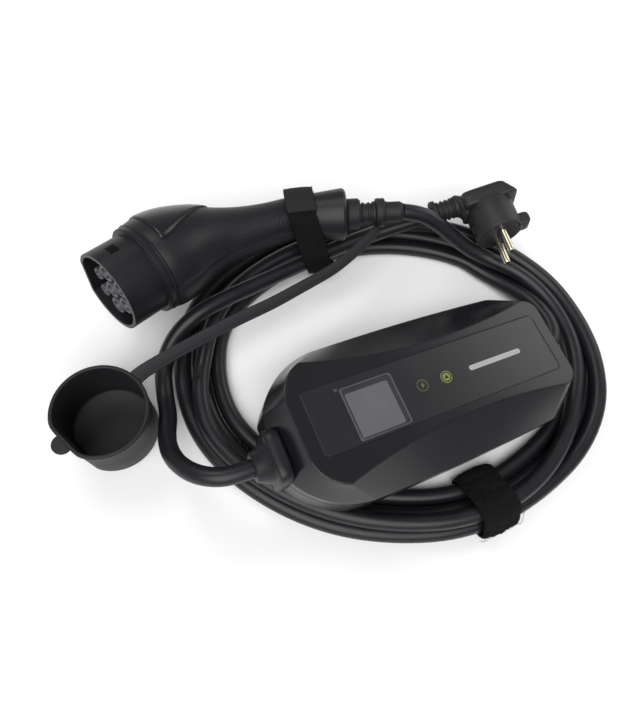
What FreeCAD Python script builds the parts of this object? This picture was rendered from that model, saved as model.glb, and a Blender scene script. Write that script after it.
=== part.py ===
"""Portable car charging lead: a vehicle connector, a control box and an angled mains plug on one coiled lead.

Everything lies on a table as it was put down. +Z is up, +X runs to the right along the table and +Y runs
away from the front. The origin is on the table, under the middle of the box, the connector and its cap.
"""
import FreeCAD, Part
import math
import os
import Sketcher
from FreeCAD import Placement, Rotation, Vector

doc = FreeCAD.newDocument("ev_charger")
sheet = doc.addObject("Spreadsheet::Sheet", "Sizes")

SIZES = [
    # where the pieces lie on the table
    ("origin_x", -1.47), ("origin_y", 2.31),
    ("case_x", 54.5), ("case_y", -37.0), ("case_yaw", 23.4), ("case_tilt", 7.6), ("case_reach", 101.0),
    ("gun_x", 37.2), ("gun_y", 95.8), ("gun_z", 50.8), ("gun_yaw", 3.5), ("gun_tilt", 5.5), ("gun_roll", -20.1),
    ("cap_x", -136.9), ("cap_y", -51.8), ("cap_turn", 227.0),
    ("plug_x", 126.6), ("plug_y", 87.8), ("plug_z", 44.0), ("plug_yaw", 16.0), ("plug_roll", 15.0),
    # cable, straps and coil
    ("cable_radius", 5.75), ("strap_thick", 1.6), ("strap_gap", 0.3), ("coil_lift", 2.0),
    ("handle_strap_width", 21.0), ("coil_strap_width", 32.0),
    ("strap_one_x", -18.8), ("strap_one_y", 89.5), ("strap_two_x", 109.4), ("strap_two_y", -96.8), ("fit_gap", 0.2),
    # connector nose
    ("nose_radius", 26.5), ("nose_flat", 23.9), ("nose_wall", 2.4), ("nose_length", 26.0),
    ("nose_angle", 44.5), ("nose_u", -159.1), ("nose_v", -50.7),
    ("flange_radius", 29.7), ("flange_thick", 3.2), ("flange_step", 1.0),
    ("lock_width", 9.0), ("lock_length", 6.0), ("lock_depth", 1.6), ("lock_setback", 5.5),
    ("carrier_depth", 5.0), ("carrier_base", 6.0), ("carrier_tower", 13.0), ("tower_radius", 5.9),
    ("small_tower_radius", 4.2), ("contact_pitch", 13.2), ("contact_row", 11.4), ("lower_row", -11.4),
    ("signal_row", 11.0), ("signal_pitch", 6.8), ("power_bore", 3.05), ("signal_bore", 1.55),
    ("contact_wall", 0.9), ("contact_length", 24.0), ("contact_recess", 1.2),
    ("collar_radius", 30.4), ("collar_thick", 1.8), ("collar_gap", 1.0),
    # connector handle
    ("shell_wall", 3.0), ("trim_rise", 0.7), ("trim_depth", 1.2), ("trim_start", -166.0), ("trim_end", -118.0),
    ("trim_half", 13.0), ("trim_low", -22.0), ("tail_start", -46.0), ("screw_radius", 1.6), ("screw_head", 2.8), ("screw_gap", 0.15),
    ("nut_radius", 18.0), ("nut_front", 15.6), ("nut_length", 22.0), ("nut_round", 2.5),
    ("bead_radius", 10.6), ("bead_length", 10.0), ("neck_radius", 6.8), ("rib_radius", 7.6),
    ("rib_length", 2.2), ("rib_pitch", 4.0), ("neck_length", 13.0), ("groove_radius", 6.8),
    ("ring_width", 6.4), ("ring_gap", 0.3), ("ring_wall", 2.8), ("sleeve_radius", 7.2), ("sleeve_length", 14.0),
    # dust cap
    ("cap_gap", 0.4), ("cap_wall", 1.5), ("cap_height", 44.0), ("cap_floor", 2.2), ("cap_bead", 0.9),
    ("cap_bead_height", 3.0), ("tab_radius", 6.0), ("tab_thick", 3.0), ("tether_width", 10.0),
    ("tether_thick", 2.4), ("tether_low", 40.6), ("tether_high", 46.0),
    # control box
    ("case_height", 50.0), ("case_split", 22.0), ("case_band", 29.0), ("case_foot", 5.0),
    ("case_wall", 2.6), ("case_left", -99.0), ("case_right", 101.0), ("case_half", 50.0),
    ("deck_left", -88.0), ("deck_waist", 25.5), ("deck_left_half", 38.0), ("deck_right_half", 31.5),
    ("panel_left", -78.3), ("panel_length", 170.7), ("panel_half", 20.0), ("panel_thick", 0.8),
    ("panel_gap", 0.1), ("panel_round", 3.0),
    ("window_x", -38.5), ("window_y", -1.0), ("window_side", 31.0), ("window_step", 1.6),
    ("lens_x", -4.9), ("lens_pitch", 17.6), ("lens_radius", 4.7),
    ("bar_start", 30.3), ("bar_length", 40.8), ("bar_half", 1.7),
    ("seal_width", 1.2), ("seal_height", 1.6), ("boss_radius", 3.6), ("boss_x", 70.0), ("boss_y", 20.0),
    ("board_length", 156.0), ("board_width", 58.0), ("board_thick", 1.6), ("board_height", 10.0),
    ("relay_length", 24.0), ("relay_width", 13.0), ("relay_height", 16.0),
    ("relay_x", 12.0), ("relay_pitch", 30.0), ("relay_y", -17.0),
    ("core_side", 30.0), ("core_height", 20.0), ("core_x", -35.0), ("core_y", 8.0),
    ("toroid_radius", 11.0), ("toroid_bore", 6.0),
    ("toroid_width", 8.0), ("toroid_x", 20.0), ("toroid_y", 12.0),
    ("block_length", 30.0), ("block_width", 11.0), ("block_height", 13.0), ("block_x", -66.0),
    ("way_radius", 2.4), ("way_pitch", 9.0), ("way_height", 5.0),
    ("screen_side", 33.0), ("screen_thick", 3.4), ("screen_drop", 0.2),
    ("left_gland_y", -6.0), ("gland_z", 24.0), ("gland_radius", 19.6), ("gland_length", 13.0),
    ("gland_neck", 11.0), ("gland_mouth", 9.0), ("gland_spigot", 9.0), ("flute_radius", 2.2), ("flute_count", 10),
    ("right_gland_radius", 13.0), ("right_gland_length", 4.0), ("right_mouth", 1.5), ("left_mouth", 2.5),
    ("seal_inset", 3.0), ("seal_ring", 2.4),
    # mains plug
    ("plug_radius", 17.0), ("plug_depth", 23.5), ("plug_round", 2.5), ("plug_neck", 20.0),
    ("plug_axis", -33.0), ("neck_big", 10.6), ("neck_small", 8.4), ("face_radius", 14.6), ("face_thick", 3.0),
    ("pin_radius", 2.4), ("pin_length", 19.0), ("pin_spacing", 19.0), ("pin_root", 12.0),
    ("pin_shank", 1.9), ("pin_tip", 1.2), ("rib_half", 4.5),
    ("clip_width", 8.0), ("clip_thick", 1.0), ("clip_length", 15.0),
    ("boot_length", 20.0), ("boot_end", 7.6), ("boot_bead", 9.6), ("boot_rib", 1.4), ("boot_pitch", 3.4),
    ("lug_length", 7.0), ("lug_width", 9.0), ("lug_height", 12.0),
    ("hood_depth", 18.5), ("hood_left", 18.0), ("hood_right", 21.0), ("hood_bevel", 6.0), ("hood_half", 14.0),
    ("hood_round", 3.5),
]


def fill_sheet():
    """One row for each driving size: its name in column A and its plain number in column B."""
    for row, (alias, number) in enumerate(SIZES, start=1):
        sheet.set("A%d" % row, alias)
        sheet.set("B%d" % row, str(number))
        sheet.setAlias("B%d" % row, alias)
    doc.recompute()


def size(alias):
    return float(sheet.get(alias))


def value(expression):
    """The number that an expression of sheet cells stands for."""
    return float(sheet.evalExpression(expression))


def bind(thing, field, expression):
    thing.setExpression(field, expression)


# Helpers for parametric bodies

def new_body(label):
    body = doc.addObject("PartDesign::Body", label)
    body.Label = label
    return body


def attach(body, name, role, offset="0"):
    """A sketch on one of the body's own origin planes, moved along the plane's normal by an expression."""
    sketch = body.newObject("Sketcher::SketchObject", name)
    plane = [feature for feature in body.Origin.OriginFeatures if feature.Role == role][0]
    sketch.AttachmentSupport = (plane, [""])
    sketch.MapMode = "FlatFace"
    if offset != "0":
        bind(sketch, "AttachmentOffset.Base.z", offset)
    return sketch


def add_circle(sketch, radius, x="0", y="0"):
    """A circle whose radius and centre are bound to expressions."""
    centre = Vector(value(x), value(y), 0)
    index = sketch.addGeometry(Part.Circle(centre, Vector(0, 0, 1), value(radius)))
    held = [("Radius", radius, (index,)), ("DistanceX", x, (-1, 1, index, 3)), ("DistanceY", y, (-1, 1, index, 3))]
    for kind, expression, places in held:
        number = sketch.addConstraint(Sketcher.Constraint(kind, *places, value(expression)))
        bind(sketch, "Constraints[%d]" % number, expression)


def add_polygon(sketch, corners):
    """A closed outline of straight edges; each corner is held by two bound distances."""
    spots = [Vector(value(x), value(y), 0) for x, y in corners]
    first = sketch.GeometryCount
    count = len(corners)
    for number in range(count):
        sketch.addGeometry(Part.LineSegment(spots[number], spots[(number + 1) % count]))
    for number in range(count):
        edge, after = first + number, first + (number + 1) % count
        sketch.addConstraint(Sketcher.Constraint("Coincident", edge, 2, after, 1))
    for number, corner in enumerate(corners):
        for kind, expression in zip(("DistanceX", "DistanceY"), corner):
            index = sketch.addConstraint(Sketcher.Constraint(kind, -1, 1, first + number, 1, value(expression)))
            bind(sketch, "Constraints[%d]" % index, expression)


def add_rectangle(sketch, length, width, x="0", y="0"):
    halves = [("-", "-"), ("+", "-"), ("+", "+"), ("-", "+")]
    add_polygon(sketch, [("%s %s (%s) / 2" % (x, sx, length), "%s %s (%s) / 2" % (y, sy, width)) for sx, sy in halves])


def add_dee(sketch, radius, flat):
    """A circle cut off by a flat on its upper side, as two joined edges."""
    big, cut = value(radius), value(flat)
    start = math.pi - math.asin(cut / big)
    end = 2 * math.pi + math.asin(cut / big)
    arc = sketch.addGeometry(Part.ArcOfCircle(Part.Circle(Vector(0, 0, 0), Vector(0, 0, 1), big), start, end))
    half = math.sqrt(big * big - cut * cut)
    line = sketch.addGeometry(Part.LineSegment(Vector(half, cut, 0), Vector(-half, cut, 0)))
    sketch.addConstraint(Sketcher.Constraint("Coincident", arc, 2, line, 1))
    sketch.addConstraint(Sketcher.Constraint("Coincident", line, 2, arc, 1))
    sketch.addConstraint(Sketcher.Constraint("Coincident", arc, 3, -1, 1))
    sketch.addConstraint(Sketcher.Constraint("Horizontal", line))
    for kind, expression, places in (("Radius", radius, (arc,)), ("DistanceY", flat, (-1, 1, line, 1))):
        number = sketch.addConstraint(Sketcher.Constraint(kind, *places, value(expression)))
        bind(sketch, "Constraints[%d]" % number, expression)


def pad(body, sketch, length, backwards=False):
    feature = body.newObject("PartDesign::Pad", sketch.Name + "_pad")
    feature.Profile = sketch
    feature.Reversed = backwards
    bind(feature, "Length", length)
    sketch.Visibility = False
    doc.recompute()
    return feature


def pocket(body, sketch, depth, backwards=False):
    """A cut from the sketch; the volume before and after shows that it really cut."""
    before = body.Shape.Volume
    feature = body.newObject("PartDesign::Pocket", sketch.Name + "_pocket")
    feature.Profile = sketch
    feature.Reversed = backwards
    bind(feature, "Length", depth)
    doc.recompute()
    if body.Shape.Volume > before - 0.01:
        raise RuntimeError("%s cut nothing" % feature.Name)
    return feature


def revolve(body, name, corners):
    """A turned form: corners are (radius, height) pairs of expressions, turned about the body's Z axis."""
    sketch = attach(body, name, "XZ_Plane")
    add_polygon(sketch, corners)
    feature = body.newObject("PartDesign::Revolution", name + "_turn")
    feature.Profile = sketch
    feature.ReferenceAxis = (sketch, ["V_Axis"])
    feature.Angle = 360
    doc.recompute()
    return feature


def around(body, feature, count, name):
    """Copies of one feature evenly spaced about the body's Z axis."""
    pattern = body.newObject("PartDesign::PolarPattern", name)
    pattern.Originals = [feature]
    pattern.Axis = ([part for part in body.Origin.OriginFeatures if part.Role == "Z_Axis"][0], [""])
    pattern.Angle = 360
    bind(pattern, "Occurrences", count)
    body.Tip = pattern
    doc.recompute()
    return pattern


def solid_feature(label, shape, place=None):
    """A sub-part whose surface is worked out in code, from sizes read from the sheet."""
    feature = doc.addObject("Part::Feature", label)
    feature.Label = label
    feature.Shape = shape
    if place is not None:
        feature.Placement = place
    return feature


# Places on the table

def table_place(x, y, z, turn):
    return Placement(Vector(x - size("origin_x"), y - size("origin_y"), z), turn)


def case_place():
    """The box lies on its coil at one end and on the table at the other, so it is tilted along its length."""
    tilt = math.radians(size("case_tilt"))
    turn = Rotation(Vector(0, 0, 1), size("case_yaw")) * Rotation(Vector(0, 1, 0), size("case_tilt"))
    return table_place(size("case_x"), size("case_y"), size("case_reach") * math.sin(tilt), turn)


def gun_place():
    """The connector's own frame: +X along its tail, +Z up its side, origin at the cap ring's centre."""
    turn = Rotation(Vector(0, 0, 1), size("gun_yaw")) * Rotation(Vector(0, 1, 0), -size("gun_tilt"))
    turn = turn * Rotation(Vector(1, 0, 0), size("gun_roll"))
    return table_place(size("gun_x"), size("gun_y"), size("gun_z"), turn)


def nose_place():
    """The nose's frame inside the connector: +Z out of the nose, +Y to the flat side with the lock recess."""
    angle = math.radians(size("nose_angle"))
    forward = Vector(-math.cos(angle), -math.sin(angle), 0)
    up = Vector(-math.sin(angle), math.cos(angle), 0)
    turn = Rotation(Vector(0, 0, 1), up, forward, "ZYX")
    return gun_place() * Placement(Vector(size("nose_u"), size("nose_v"), 0), turn)


def tail_place(along):
    """A frame on the connector's tail axis, +Z towards the cable."""
    return gun_place() * Placement(Vector(along, 0, 0), Rotation(Vector(0, 1, 0), 90))


def plug_place():
    """The plug's frame: +Z out along the pins, +Y up its side, +X away from the cable; it leans on its boot."""
    turn = Rotation(Vector(0, 0, 1), size("plug_yaw")) * Rotation(Vector(1, 0, 0), 90)
    turn = turn * Rotation(Vector(0, 0, 1), size("plug_roll"))
    return table_place(size("plug_x"), size("plug_y"), size("plug_z"), turn)


# Connector nose

def contact_spots():
    """Expressions for the seven places of the contact pattern: three rows, the two signal contacts on top."""
    power = [("-contact_pitch", "0"), ("0", "0"), ("contact_pitch", "0")]
    spare = [("-contact_pitch / 2", "lower_row"), ("contact_pitch / 2", "lower_row")]
    signal = [("-signal_pitch", "signal_row"), ("signal_pitch", "signal_row")]

    def named(pairs):
        words = ("contact_pitch", "lower_row", "signal_row", "signal_pitch")
        found = []
        for pair in pairs:
            for word in words:
                pair = tuple(text.replace(word, "Sizes." + word) for text in pair)
            found.append(pair)
        return found
    return named(power), named(spare), named(signal)


def make_nose_shroud():
    """The round nose with one flat side, open in front, with a lock recess and a flange behind it."""
    body = new_body("nose_shroud")
    outer = attach(body, "nose_outline", "XY_Plane")
    add_dee(outer, "Sizes.nose_radius", "Sizes.nose_flat")
    pad(body, outer, "Sizes.nose_length")
    flange = attach(body, "flange_outline", "XY_Plane")
    add_circle(flange, "Sizes.flange_radius")
    pad(body, flange, "Sizes.flange_thick", backwards=True)
    step = attach(body, "step_outline", "XY_Plane")
    add_circle(step, "Sizes.flange_radius - Sizes.flange_step")
    pad(body, step, "Sizes.flange_step")
    hollow = attach(body, "nose_hollow", "XY_Plane", "Sizes.nose_length")
    add_dee(hollow, "Sizes.nose_radius - Sizes.nose_wall", "Sizes.nose_flat - Sizes.nose_wall")
    pocket(body, hollow, "Sizes.nose_length + Sizes.flange_thick")
    lock = attach(body, "lock_recess", "XZ_Plane", "-Sizes.nose_flat")
    add_rectangle(lock, "Sizes.lock_width", "Sizes.lock_length",
                  "0", "Sizes.nose_length - Sizes.lock_setback - Sizes.lock_length / 2")
    pocket(body, lock, "Sizes.lock_depth", backwards=True)
    body.Placement = nose_place()


def make_contact_carrier():
    """The insulating block: a plate across the nose and seven round towers with bores for the contacts."""
    body = new_body("contact_carrier")
    back = "-Sizes.flange_thick"
    inner = "Sizes.nose_radius - Sizes.nose_wall - Sizes.fit_gap"
    flat = "Sizes.nose_flat - Sizes.nose_wall - Sizes.fit_gap"
    plate = attach(body, "carrier_plate", "XY_Plane", back)
    add_dee(plate, inner, flat)
    pad(body, plate, "Sizes.carrier_base")
    power, spare, signal = contact_spots()
    towers = attach(body, "carrier_towers", "XY_Plane", back + " + Sizes.carrier_base")
    for x, y in power + spare:
        add_circle(towers, "Sizes.tower_radius", x, y)
    pad(body, towers, "Sizes.carrier_tower")
    small = attach(body, "signal_towers", "XY_Plane", back + " + Sizes.carrier_base")
    for x, y in signal:
        add_circle(small, "Sizes.small_tower_radius", x, y)
    pad(body, small, "Sizes.carrier_tower")
    front = back + " + Sizes.carrier_base + Sizes.carrier_tower"
    bores = attach(body, "contact_bores", "XY_Plane", front)
    for x, y in power:
        add_circle(bores, "Sizes.power_bore + Sizes.contact_wall + Sizes.fit_gap / 2", x, y)
    for x, y in signal:
        add_circle(bores, "Sizes.signal_bore + Sizes.contact_wall + Sizes.fit_gap / 2", x, y)
    pocket(body, bores, "Sizes.carrier_base + Sizes.carrier_tower")
    blind = attach(body, "spare_bores", "XY_Plane", front)
    for x, y in spare:
        add_circle(blind, "Sizes.power_bore + Sizes.fit_gap", x, y)
    pocket(body, blind, "Sizes.carrier_tower")
    body.Placement = nose_place()


def contact_sleeves(label, spots, bore):
    """Turned contact sockets, one for each place, open in front and closed at the wire end."""
    back = "-Sizes.flange_thick + Sizes.carrier_base + Sizes.carrier_tower - Sizes.contact_recess"
    sleeves = []
    for number, (x, y) in enumerate(spots):
        outer = doc.addObject("Part::Cylinder", "%s_outer_%d" % (label, number))
        inner = doc.addObject("Part::Cylinder", "%s_bore_%d" % (label, number))
        bind(outer, "Radius", "%s + Sizes.contact_wall" % bore)
        bind(inner, "Radius", bore)
        bind(outer, "Height", "Sizes.contact_length")
        bind(inner, "Height", "Sizes.contact_length")
        for cylinder, lift in ((outer, "0"), (inner, "Sizes.contact_wall * 3")):
            bind(cylinder, "Placement.Base.x", x)
            bind(cylinder, "Placement.Base.y", y)
            bind(cylinder, "Placement.Base.z", "%s - Sizes.contact_length + %s" % (back, lift))
        sleeve = doc.addObject("Part::Cut", "%s_sleeve_%d" % (label, number))
        sleeve.Base = outer
        sleeve.Tool = inner
        sleeves.append(sleeve)
    group = doc.addObject("Part::Compound", label)
    group.Label = label
    group.Links = sleeves
    group.Placement = nose_place()


def make_contacts():
    power, _, signal = contact_spots()
    contact_sleeves("power_contacts", power, "Sizes.power_bore")
    contact_sleeves("signal_contacts", signal, "Sizes.signal_bore")


def make_collar_ring():
    """The ring behind the flange that closes the handle shells at the nose."""
    body = new_body("collar_ring")
    back = "-Sizes.flange_thick - Sizes.collar_thick"
    inner = "Sizes.nose_radius - Sizes.nose_wall"
    revolve(body, "collar_profile", [
        (inner, back), ("Sizes.collar_radius - Sizes.flange_step", back),
        ("Sizes.collar_radius", back + " + Sizes.collar_thick / 2"),
        ("Sizes.collar_radius - Sizes.flange_step", "-Sizes.flange_thick"), (inner, "-Sizes.flange_thick")])
    body.Placement = nose_place()


# Connector handle

# centre along and across the tail axis, turn in degrees, half height and half width of each section
HANDLE_SECTIONS = [
    (-155.5, -47.2, 44.5, 29.6, 28.8),
    (-149.0, -41.0, 40.0, 31.6, 29.6),
    (-138.4, -32.6, 34.0, 30.7, 28.0),
    (-123.3, -23.5, 26.0, 25.0, 24.0),
    (-109.4, -18.8, 20.0, 19.6, 19.4),
    (-94.3, -14.2, 17.0, 16.6, 16.6),
    (-77.5, -8.0, 13.0, 14.8, 14.8),
    (-60.1, -1.4, 5.0, 14.4, 14.4),
    (-46.0, 0.0, 0.0, 14.6, 14.6),
]
SECTION_POINTS = 16
FULLNESS = 2.2


def handle_section(section, grow):
    """One closed section of the handle: a slightly squared oval, square to the handle's curved centre line."""
    along, across, turn, height, width = section
    slant = math.radians(turn)
    points = []
    for number in range(SECTION_POINTS):
        angle = 2 * math.pi * number / SECTION_POINTS
        cosine, sine = math.cos(angle), math.sin(angle)
        side = (height + grow) * math.copysign(abs(cosine) ** (2 / FULLNESS), cosine)
        lift = (width + grow) * math.copysign(abs(sine) ** (2 / FULLNESS), sine)
        points.append(Vector(along - side * math.sin(slant), across + side * math.cos(slant), lift))
    curve = Part.BSplineCurve()
    curve.interpolate(Points=points, PeriodicFlag=True)
    return Part.Wire(curve.toShape())


def handle_loft(grow):
    return Part.makeLoft([handle_section(section, grow) for section in HANDLE_SECTIONS], True, False)


def trim_region():
    """The block of space that the top trim takes up: a straight-sided strip over the hump."""
    start, end = size("trim_start"), size("trim_end")
    half, tall = size("trim_half"), 34.0
    block = Part.makeBox(end - start, tall, 2 * half, Vector(start, size("trim_low"), -half))
    return block


def make_handle():
    """Two hollow half shells that meet on the connector's middle plane, and the trim let into their top."""
    wall = size("shell_wall")
    outer = handle_loft(0)
    hollow = handle_loft(-wall)
    raised = handle_loft(size("trim_rise"))
    sunk = handle_loft(-size("trim_depth"))
    trim = raised.common(trim_region()).cut(sunk)
    tube = outer.cut(hollow).cut(trim_region().cut(sunk))
    span = 300.0
    upper = Part.makeBox(span, span, span, Vector(-span + 20, -span / 2, 0))
    lower = Part.makeBox(span, span, span, Vector(-span + 20, -span / 2, -span))
    posts, holes = screw_posts(hollow)
    left = tube.common(upper).fuse(posts.common(upper)).removeSplitter()
    right = tube.common(lower).fuse(posts.common(lower)).cut(holes).removeSplitter()
    solid_feature("handle_shell_left", left.cut(holes), gun_place())
    solid_feature("handle_shell_right", right, gun_place())
    solid_feature("top_trim", trim, gun_place())


# places of the three screws that hold the shells together, along and across the tail axis
SCREW_SPOTS = [(-132.0, -42.0), (-122.0, -8.0), (-78.0, -12.5)]


def screw_depth(spot):
    """How deep below the middle plane the screw's head sits at this place."""
    return 15.0 if spot[0] < -100 else 9.0


def screw_posts(hollow):
    """Round posts between the shells and the stepped holes for their screws."""
    posts = []
    holes = []
    radius, head, gap = size("screw_radius"), size("screw_head"), size("screw_gap")
    reach = 40.0
    for spot in SCREW_SPOTS:
        depth = screw_depth(spot)
        low = Vector(spot[0], spot[1], -reach)
        posts.append(Part.makeCylinder(head + 2, 2 * reach, low).common(hollow))
        shaft = Part.makeCylinder(radius + gap, depth + 8, Vector(spot[0], spot[1], -depth))
        bore = Part.makeCylinder(head + gap, reach - depth, low)
        holes.append(shaft.fuse(bore))
    return posts[0].fuse(posts[1:]), holes[0].fuse(holes[1:])


def make_handle_screws():
    """Three pan-head screws, sunk in the side that lies on the table."""
    radius, head = size("screw_radius"), size("screw_head")
    tall = 2.0
    screws = []
    for spot in SCREW_SPOTS:
        depth = screw_depth(spot)
        shank = Part.makeCylinder(radius, depth + 7, Vector(spot[0], spot[1], -depth - tall / 2))
        cap = Part.makeCylinder(head, tall, Vector(spot[0], spot[1], -depth - tall))
        slot = Part.makeBox(2 * head, 0.8, 0.8, Vector(spot[0] - head, spot[1] - 0.4, -depth - tall))
        screws.append(shank.fuse(cap).cut(slot))
    solid_feature("handle_screws", Part.makeCompound(screws), gun_place())


def make_cord_clamp():
    """A saddle inside the tail that grips the cable, so that a pull doesn't reach the contacts."""
    body = new_body("cord_clamp")
    outer = "Sizes.nut_front - Sizes.shell_wall - 1.6"
    revolve(body, "clamp_profile", [
        ("Sizes.cable_radius + Sizes.fit_gap", "0"), (outer, "0"), (outer, "7"),
        ("Sizes.cable_radius + Sizes.fit_gap", "7")])
    relief = attach(body, "clamp_relief", "XY_Plane", "7")
    add_rectangle(relief, "Sizes.nut_front * 3", "6", "0", "Sizes.cable_radius + 5")
    pocket(body, relief, "7")
    body.Placement = tail_place(size("tail_start") - 10)


def make_tail_nut():
    """The flared collar that closes the two shells at the cable end."""
    body = new_body("tail_nut")
    bore = "Sizes.groove_radius + 1"
    revolve(body, "nut_profile", [
        (bore, "0"), ("Sizes.nut_front", "0"), ("Sizes.nut_radius", "Sizes.nut_length - Sizes.nut_round"),
        ("Sizes.nut_radius - Sizes.nut_round * 0.35", "Sizes.nut_length - Sizes.nut_round * 0.35"),
        ("Sizes.nut_radius - Sizes.nut_round", "Sizes.nut_length"), (bore, "Sizes.nut_length")])
    body.Placement = tail_place(size("tail_start"))


def make_gun_cable_boot():
    """The rubber boot on the cable: a bead, a ribbed neck, the groove for the cap's ring and an end sleeve."""
    body = new_body("gun_cable_boot")
    bore = "Sizes.cable_radius + 0.02"
    start = "Sizes.tail_start + Sizes.nut_length"
    corners = [(bore, "Sizes.tail_start + 2"), ("Sizes.groove_radius + 0.9", "Sizes.tail_start + 2"),
               ("Sizes.groove_radius + 0.9", start), ("Sizes.bead_radius - 1.2", start),
               ("Sizes.bead_radius", start + " + 1.5"), ("Sizes.bead_radius", start + " + Sizes.bead_length - 1.5"),
               ("Sizes.bead_radius - 1.2", start + " + Sizes.bead_length"),
               ("Sizes.neck_radius", start + " + Sizes.bead_length")]
    for number in range(2):
        low = start + " + Sizes.bead_length + 1 + %d * Sizes.rib_pitch" % number
        corners += [("Sizes.neck_radius", low), ("Sizes.rib_radius", low + " + 0.5"),
                    ("Sizes.rib_radius", low + " + Sizes.rib_length - 0.5"),
                    ("Sizes.neck_radius", low + " + Sizes.rib_length")]
    half = "Sizes.ring_width / 2 + Sizes.ring_gap"
    corners += [("Sizes.neck_radius", "-(%s) - 1.8" % half), ("Sizes.rib_radius + 0.4", "-(%s) - 1.8" % half),
                ("Sizes.rib_radius + 0.4", "-(%s)" % half), ("Sizes.groove_radius", "-(%s)" % half),
                ("Sizes.groove_radius", half), ("Sizes.rib_radius", half), ("Sizes.rib_radius", half + " + 1.6"),
                ("Sizes.sleeve_radius", half + " + 1.6"), ("Sizes.sleeve_radius", "Sizes.sleeve_length"),
                ("Sizes.sleeve_radius - 1", "Sizes.sleeve_length + 2"), (bore, "Sizes.sleeve_length + 2")]
    revolve(body, "boot_profile", corners)
    body.Placement = tail_place(0)


# Dust cap

# middle line of the tether in plan, from the cup's rim to the ring
TETHER_LINE = [(-118.6, -30.6), (-115.9, -27.5), (-109.1, -22.1), (-91.7, -10.0), (-62.7, 9.0), (-37.4, 23.7),
               (-17.8, 36.5), (2.4, 50.3), (14.2, 60.6), (24.2, 71.0), (31.5, 79.0), (36.5, 86.0)]


def dee_face(radius, flat, height):
    """A flat face of the cap's outline: a circle cut off by a flat on its +X side."""
    half = math.sqrt(radius * radius - flat * flat)
    arc = Part.Arc(Vector(flat, half, height), Vector(-radius, 0, height), Vector(flat, -half, height))
    line = Part.LineSegment(Vector(flat, -half, height), Vector(flat, half, height))
    return Part.Face(Part.Wire([arc.toShape(), line.toShape()]))


def make_cup():
    """The cup in its own frame, mouth up, with the flat and its pull tab towards +X."""
    inner, flat = size("nose_radius") + size("cap_gap"), size("nose_flat") + size("cap_gap")
    wall, tall, bead = size("cap_wall"), size("cap_height"), size("cap_bead")
    rim = size("cap_bead_height")
    cup = dee_face(inner + wall, flat + wall, 0).extrude(Vector(0, 0, tall))
    cup = cup.fuse(dee_face(inner + wall + bead, flat + wall + bead, tall - rim).extrude(Vector(0, 0, rim)))
    thick = size("tab_thick")
    reach = flat + wall + size("tab_radius") * 0.35
    tab = Part.makeCylinder(size("tab_radius"), thick, Vector(reach, 0, tall - rim - thick / 2))
    cup = cup.fuse(tab)
    cup = cup.cut(dee_face(inner, flat, size("cap_floor")).extrude(Vector(0, 0, tall)))
    return cup


def tether_strip():
    """The flat strap between cup and ring: a strip that narrows to the ring, cut from a plate that slopes up to it."""
    wide, narrow, thick = size("tether_width") / 2, size("ring_width") / 2, size("tether_thick")
    low, high = size("tether_low"), size("tether_high")
    line = [Vector(x, y, 0) for x, y in TETHER_LINE]
    sides = ([], [])
    for number, spot in enumerate(line):
        before, after = line[max(number - 1, 0)], line[min(number + 1, len(line) - 1)]
        ahead = (after - before).normalize()
        across = Vector(-ahead.y, ahead.x, 0)
        half = wide + (narrow - wide) * number / (len(line) - 1)
        sides[0].append(spot + across * half)
        sides[1].append(spot - across * half)
    curves = []
    for side in sides:
        curve = Part.BSplineCurve()
        curve.interpolate(side)
        curves.append(curve.toShape())
    ends = [Part.LineSegment(sides[1][end], sides[0][end]).toShape() for end in (0, -1)]
    outline = Part.Wire(Part.__sortEdges__([curves[0], ends[1], curves[1], ends[0]]))
    strip = Part.Face(outline).extrude(Vector(0, 0, thick))
    run = line[-1] - line[0]
    slope = math.degrees(math.atan2(high - low, run.Length))
    strip.translate(-line[0])
    strip.rotate(Vector(0, 0, 0), Vector(run.y, -run.x, 0), slope)
    strip.translate(line[0] + Vector(0, 0, low))
    return strip


def make_dust_cap():
    """Cup, pull tab, tether and ring, moulded in one piece of rubber; the ring runs in the boot's groove."""
    cup = make_cup()
    cup.Placement = Placement(Vector(size("cap_x"), size("cap_y"), 0), Rotation(Vector(0, 0, 1), size("cap_turn")))
    inner = size("groove_radius") + size("ring_gap")
    width = size("ring_width")
    ring = Part.makeCylinder(inner + size("ring_wall"), width)
    bore = Part.makeCylinder(inner, width)
    shift = Vector(size("origin_x"), size("origin_y"), 0)
    place = tail_place(-width / 2)
    place.Base = place.Base + shift
    clearance = size("nose_radius") + size("cap_gap")
    hollow = Part.makeCylinder(clearance, 60, Vector(size("cap_x"), size("cap_y"), size("cap_floor")))
    ring.Placement = place
    bore.Placement = place
    wide = Part.makeCylinder(inner, 3 * width)
    wide.Placement = place * Placement(Vector(0, 0, -width), Rotation())
    flange = Part.makeCylinder(size("rib_radius") + 1.0, 5 * width)
    flange.Placement = place * Placement(Vector(0, 0, -2 * width), Rotation())
    cap = cup.fuse([tether_strip().cut([hollow, flange]), ring]).cut(wide).removeSplitter()
    solid_feature("dust_cap", cap, Placement(-shift, Rotation()))


# Control box

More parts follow.
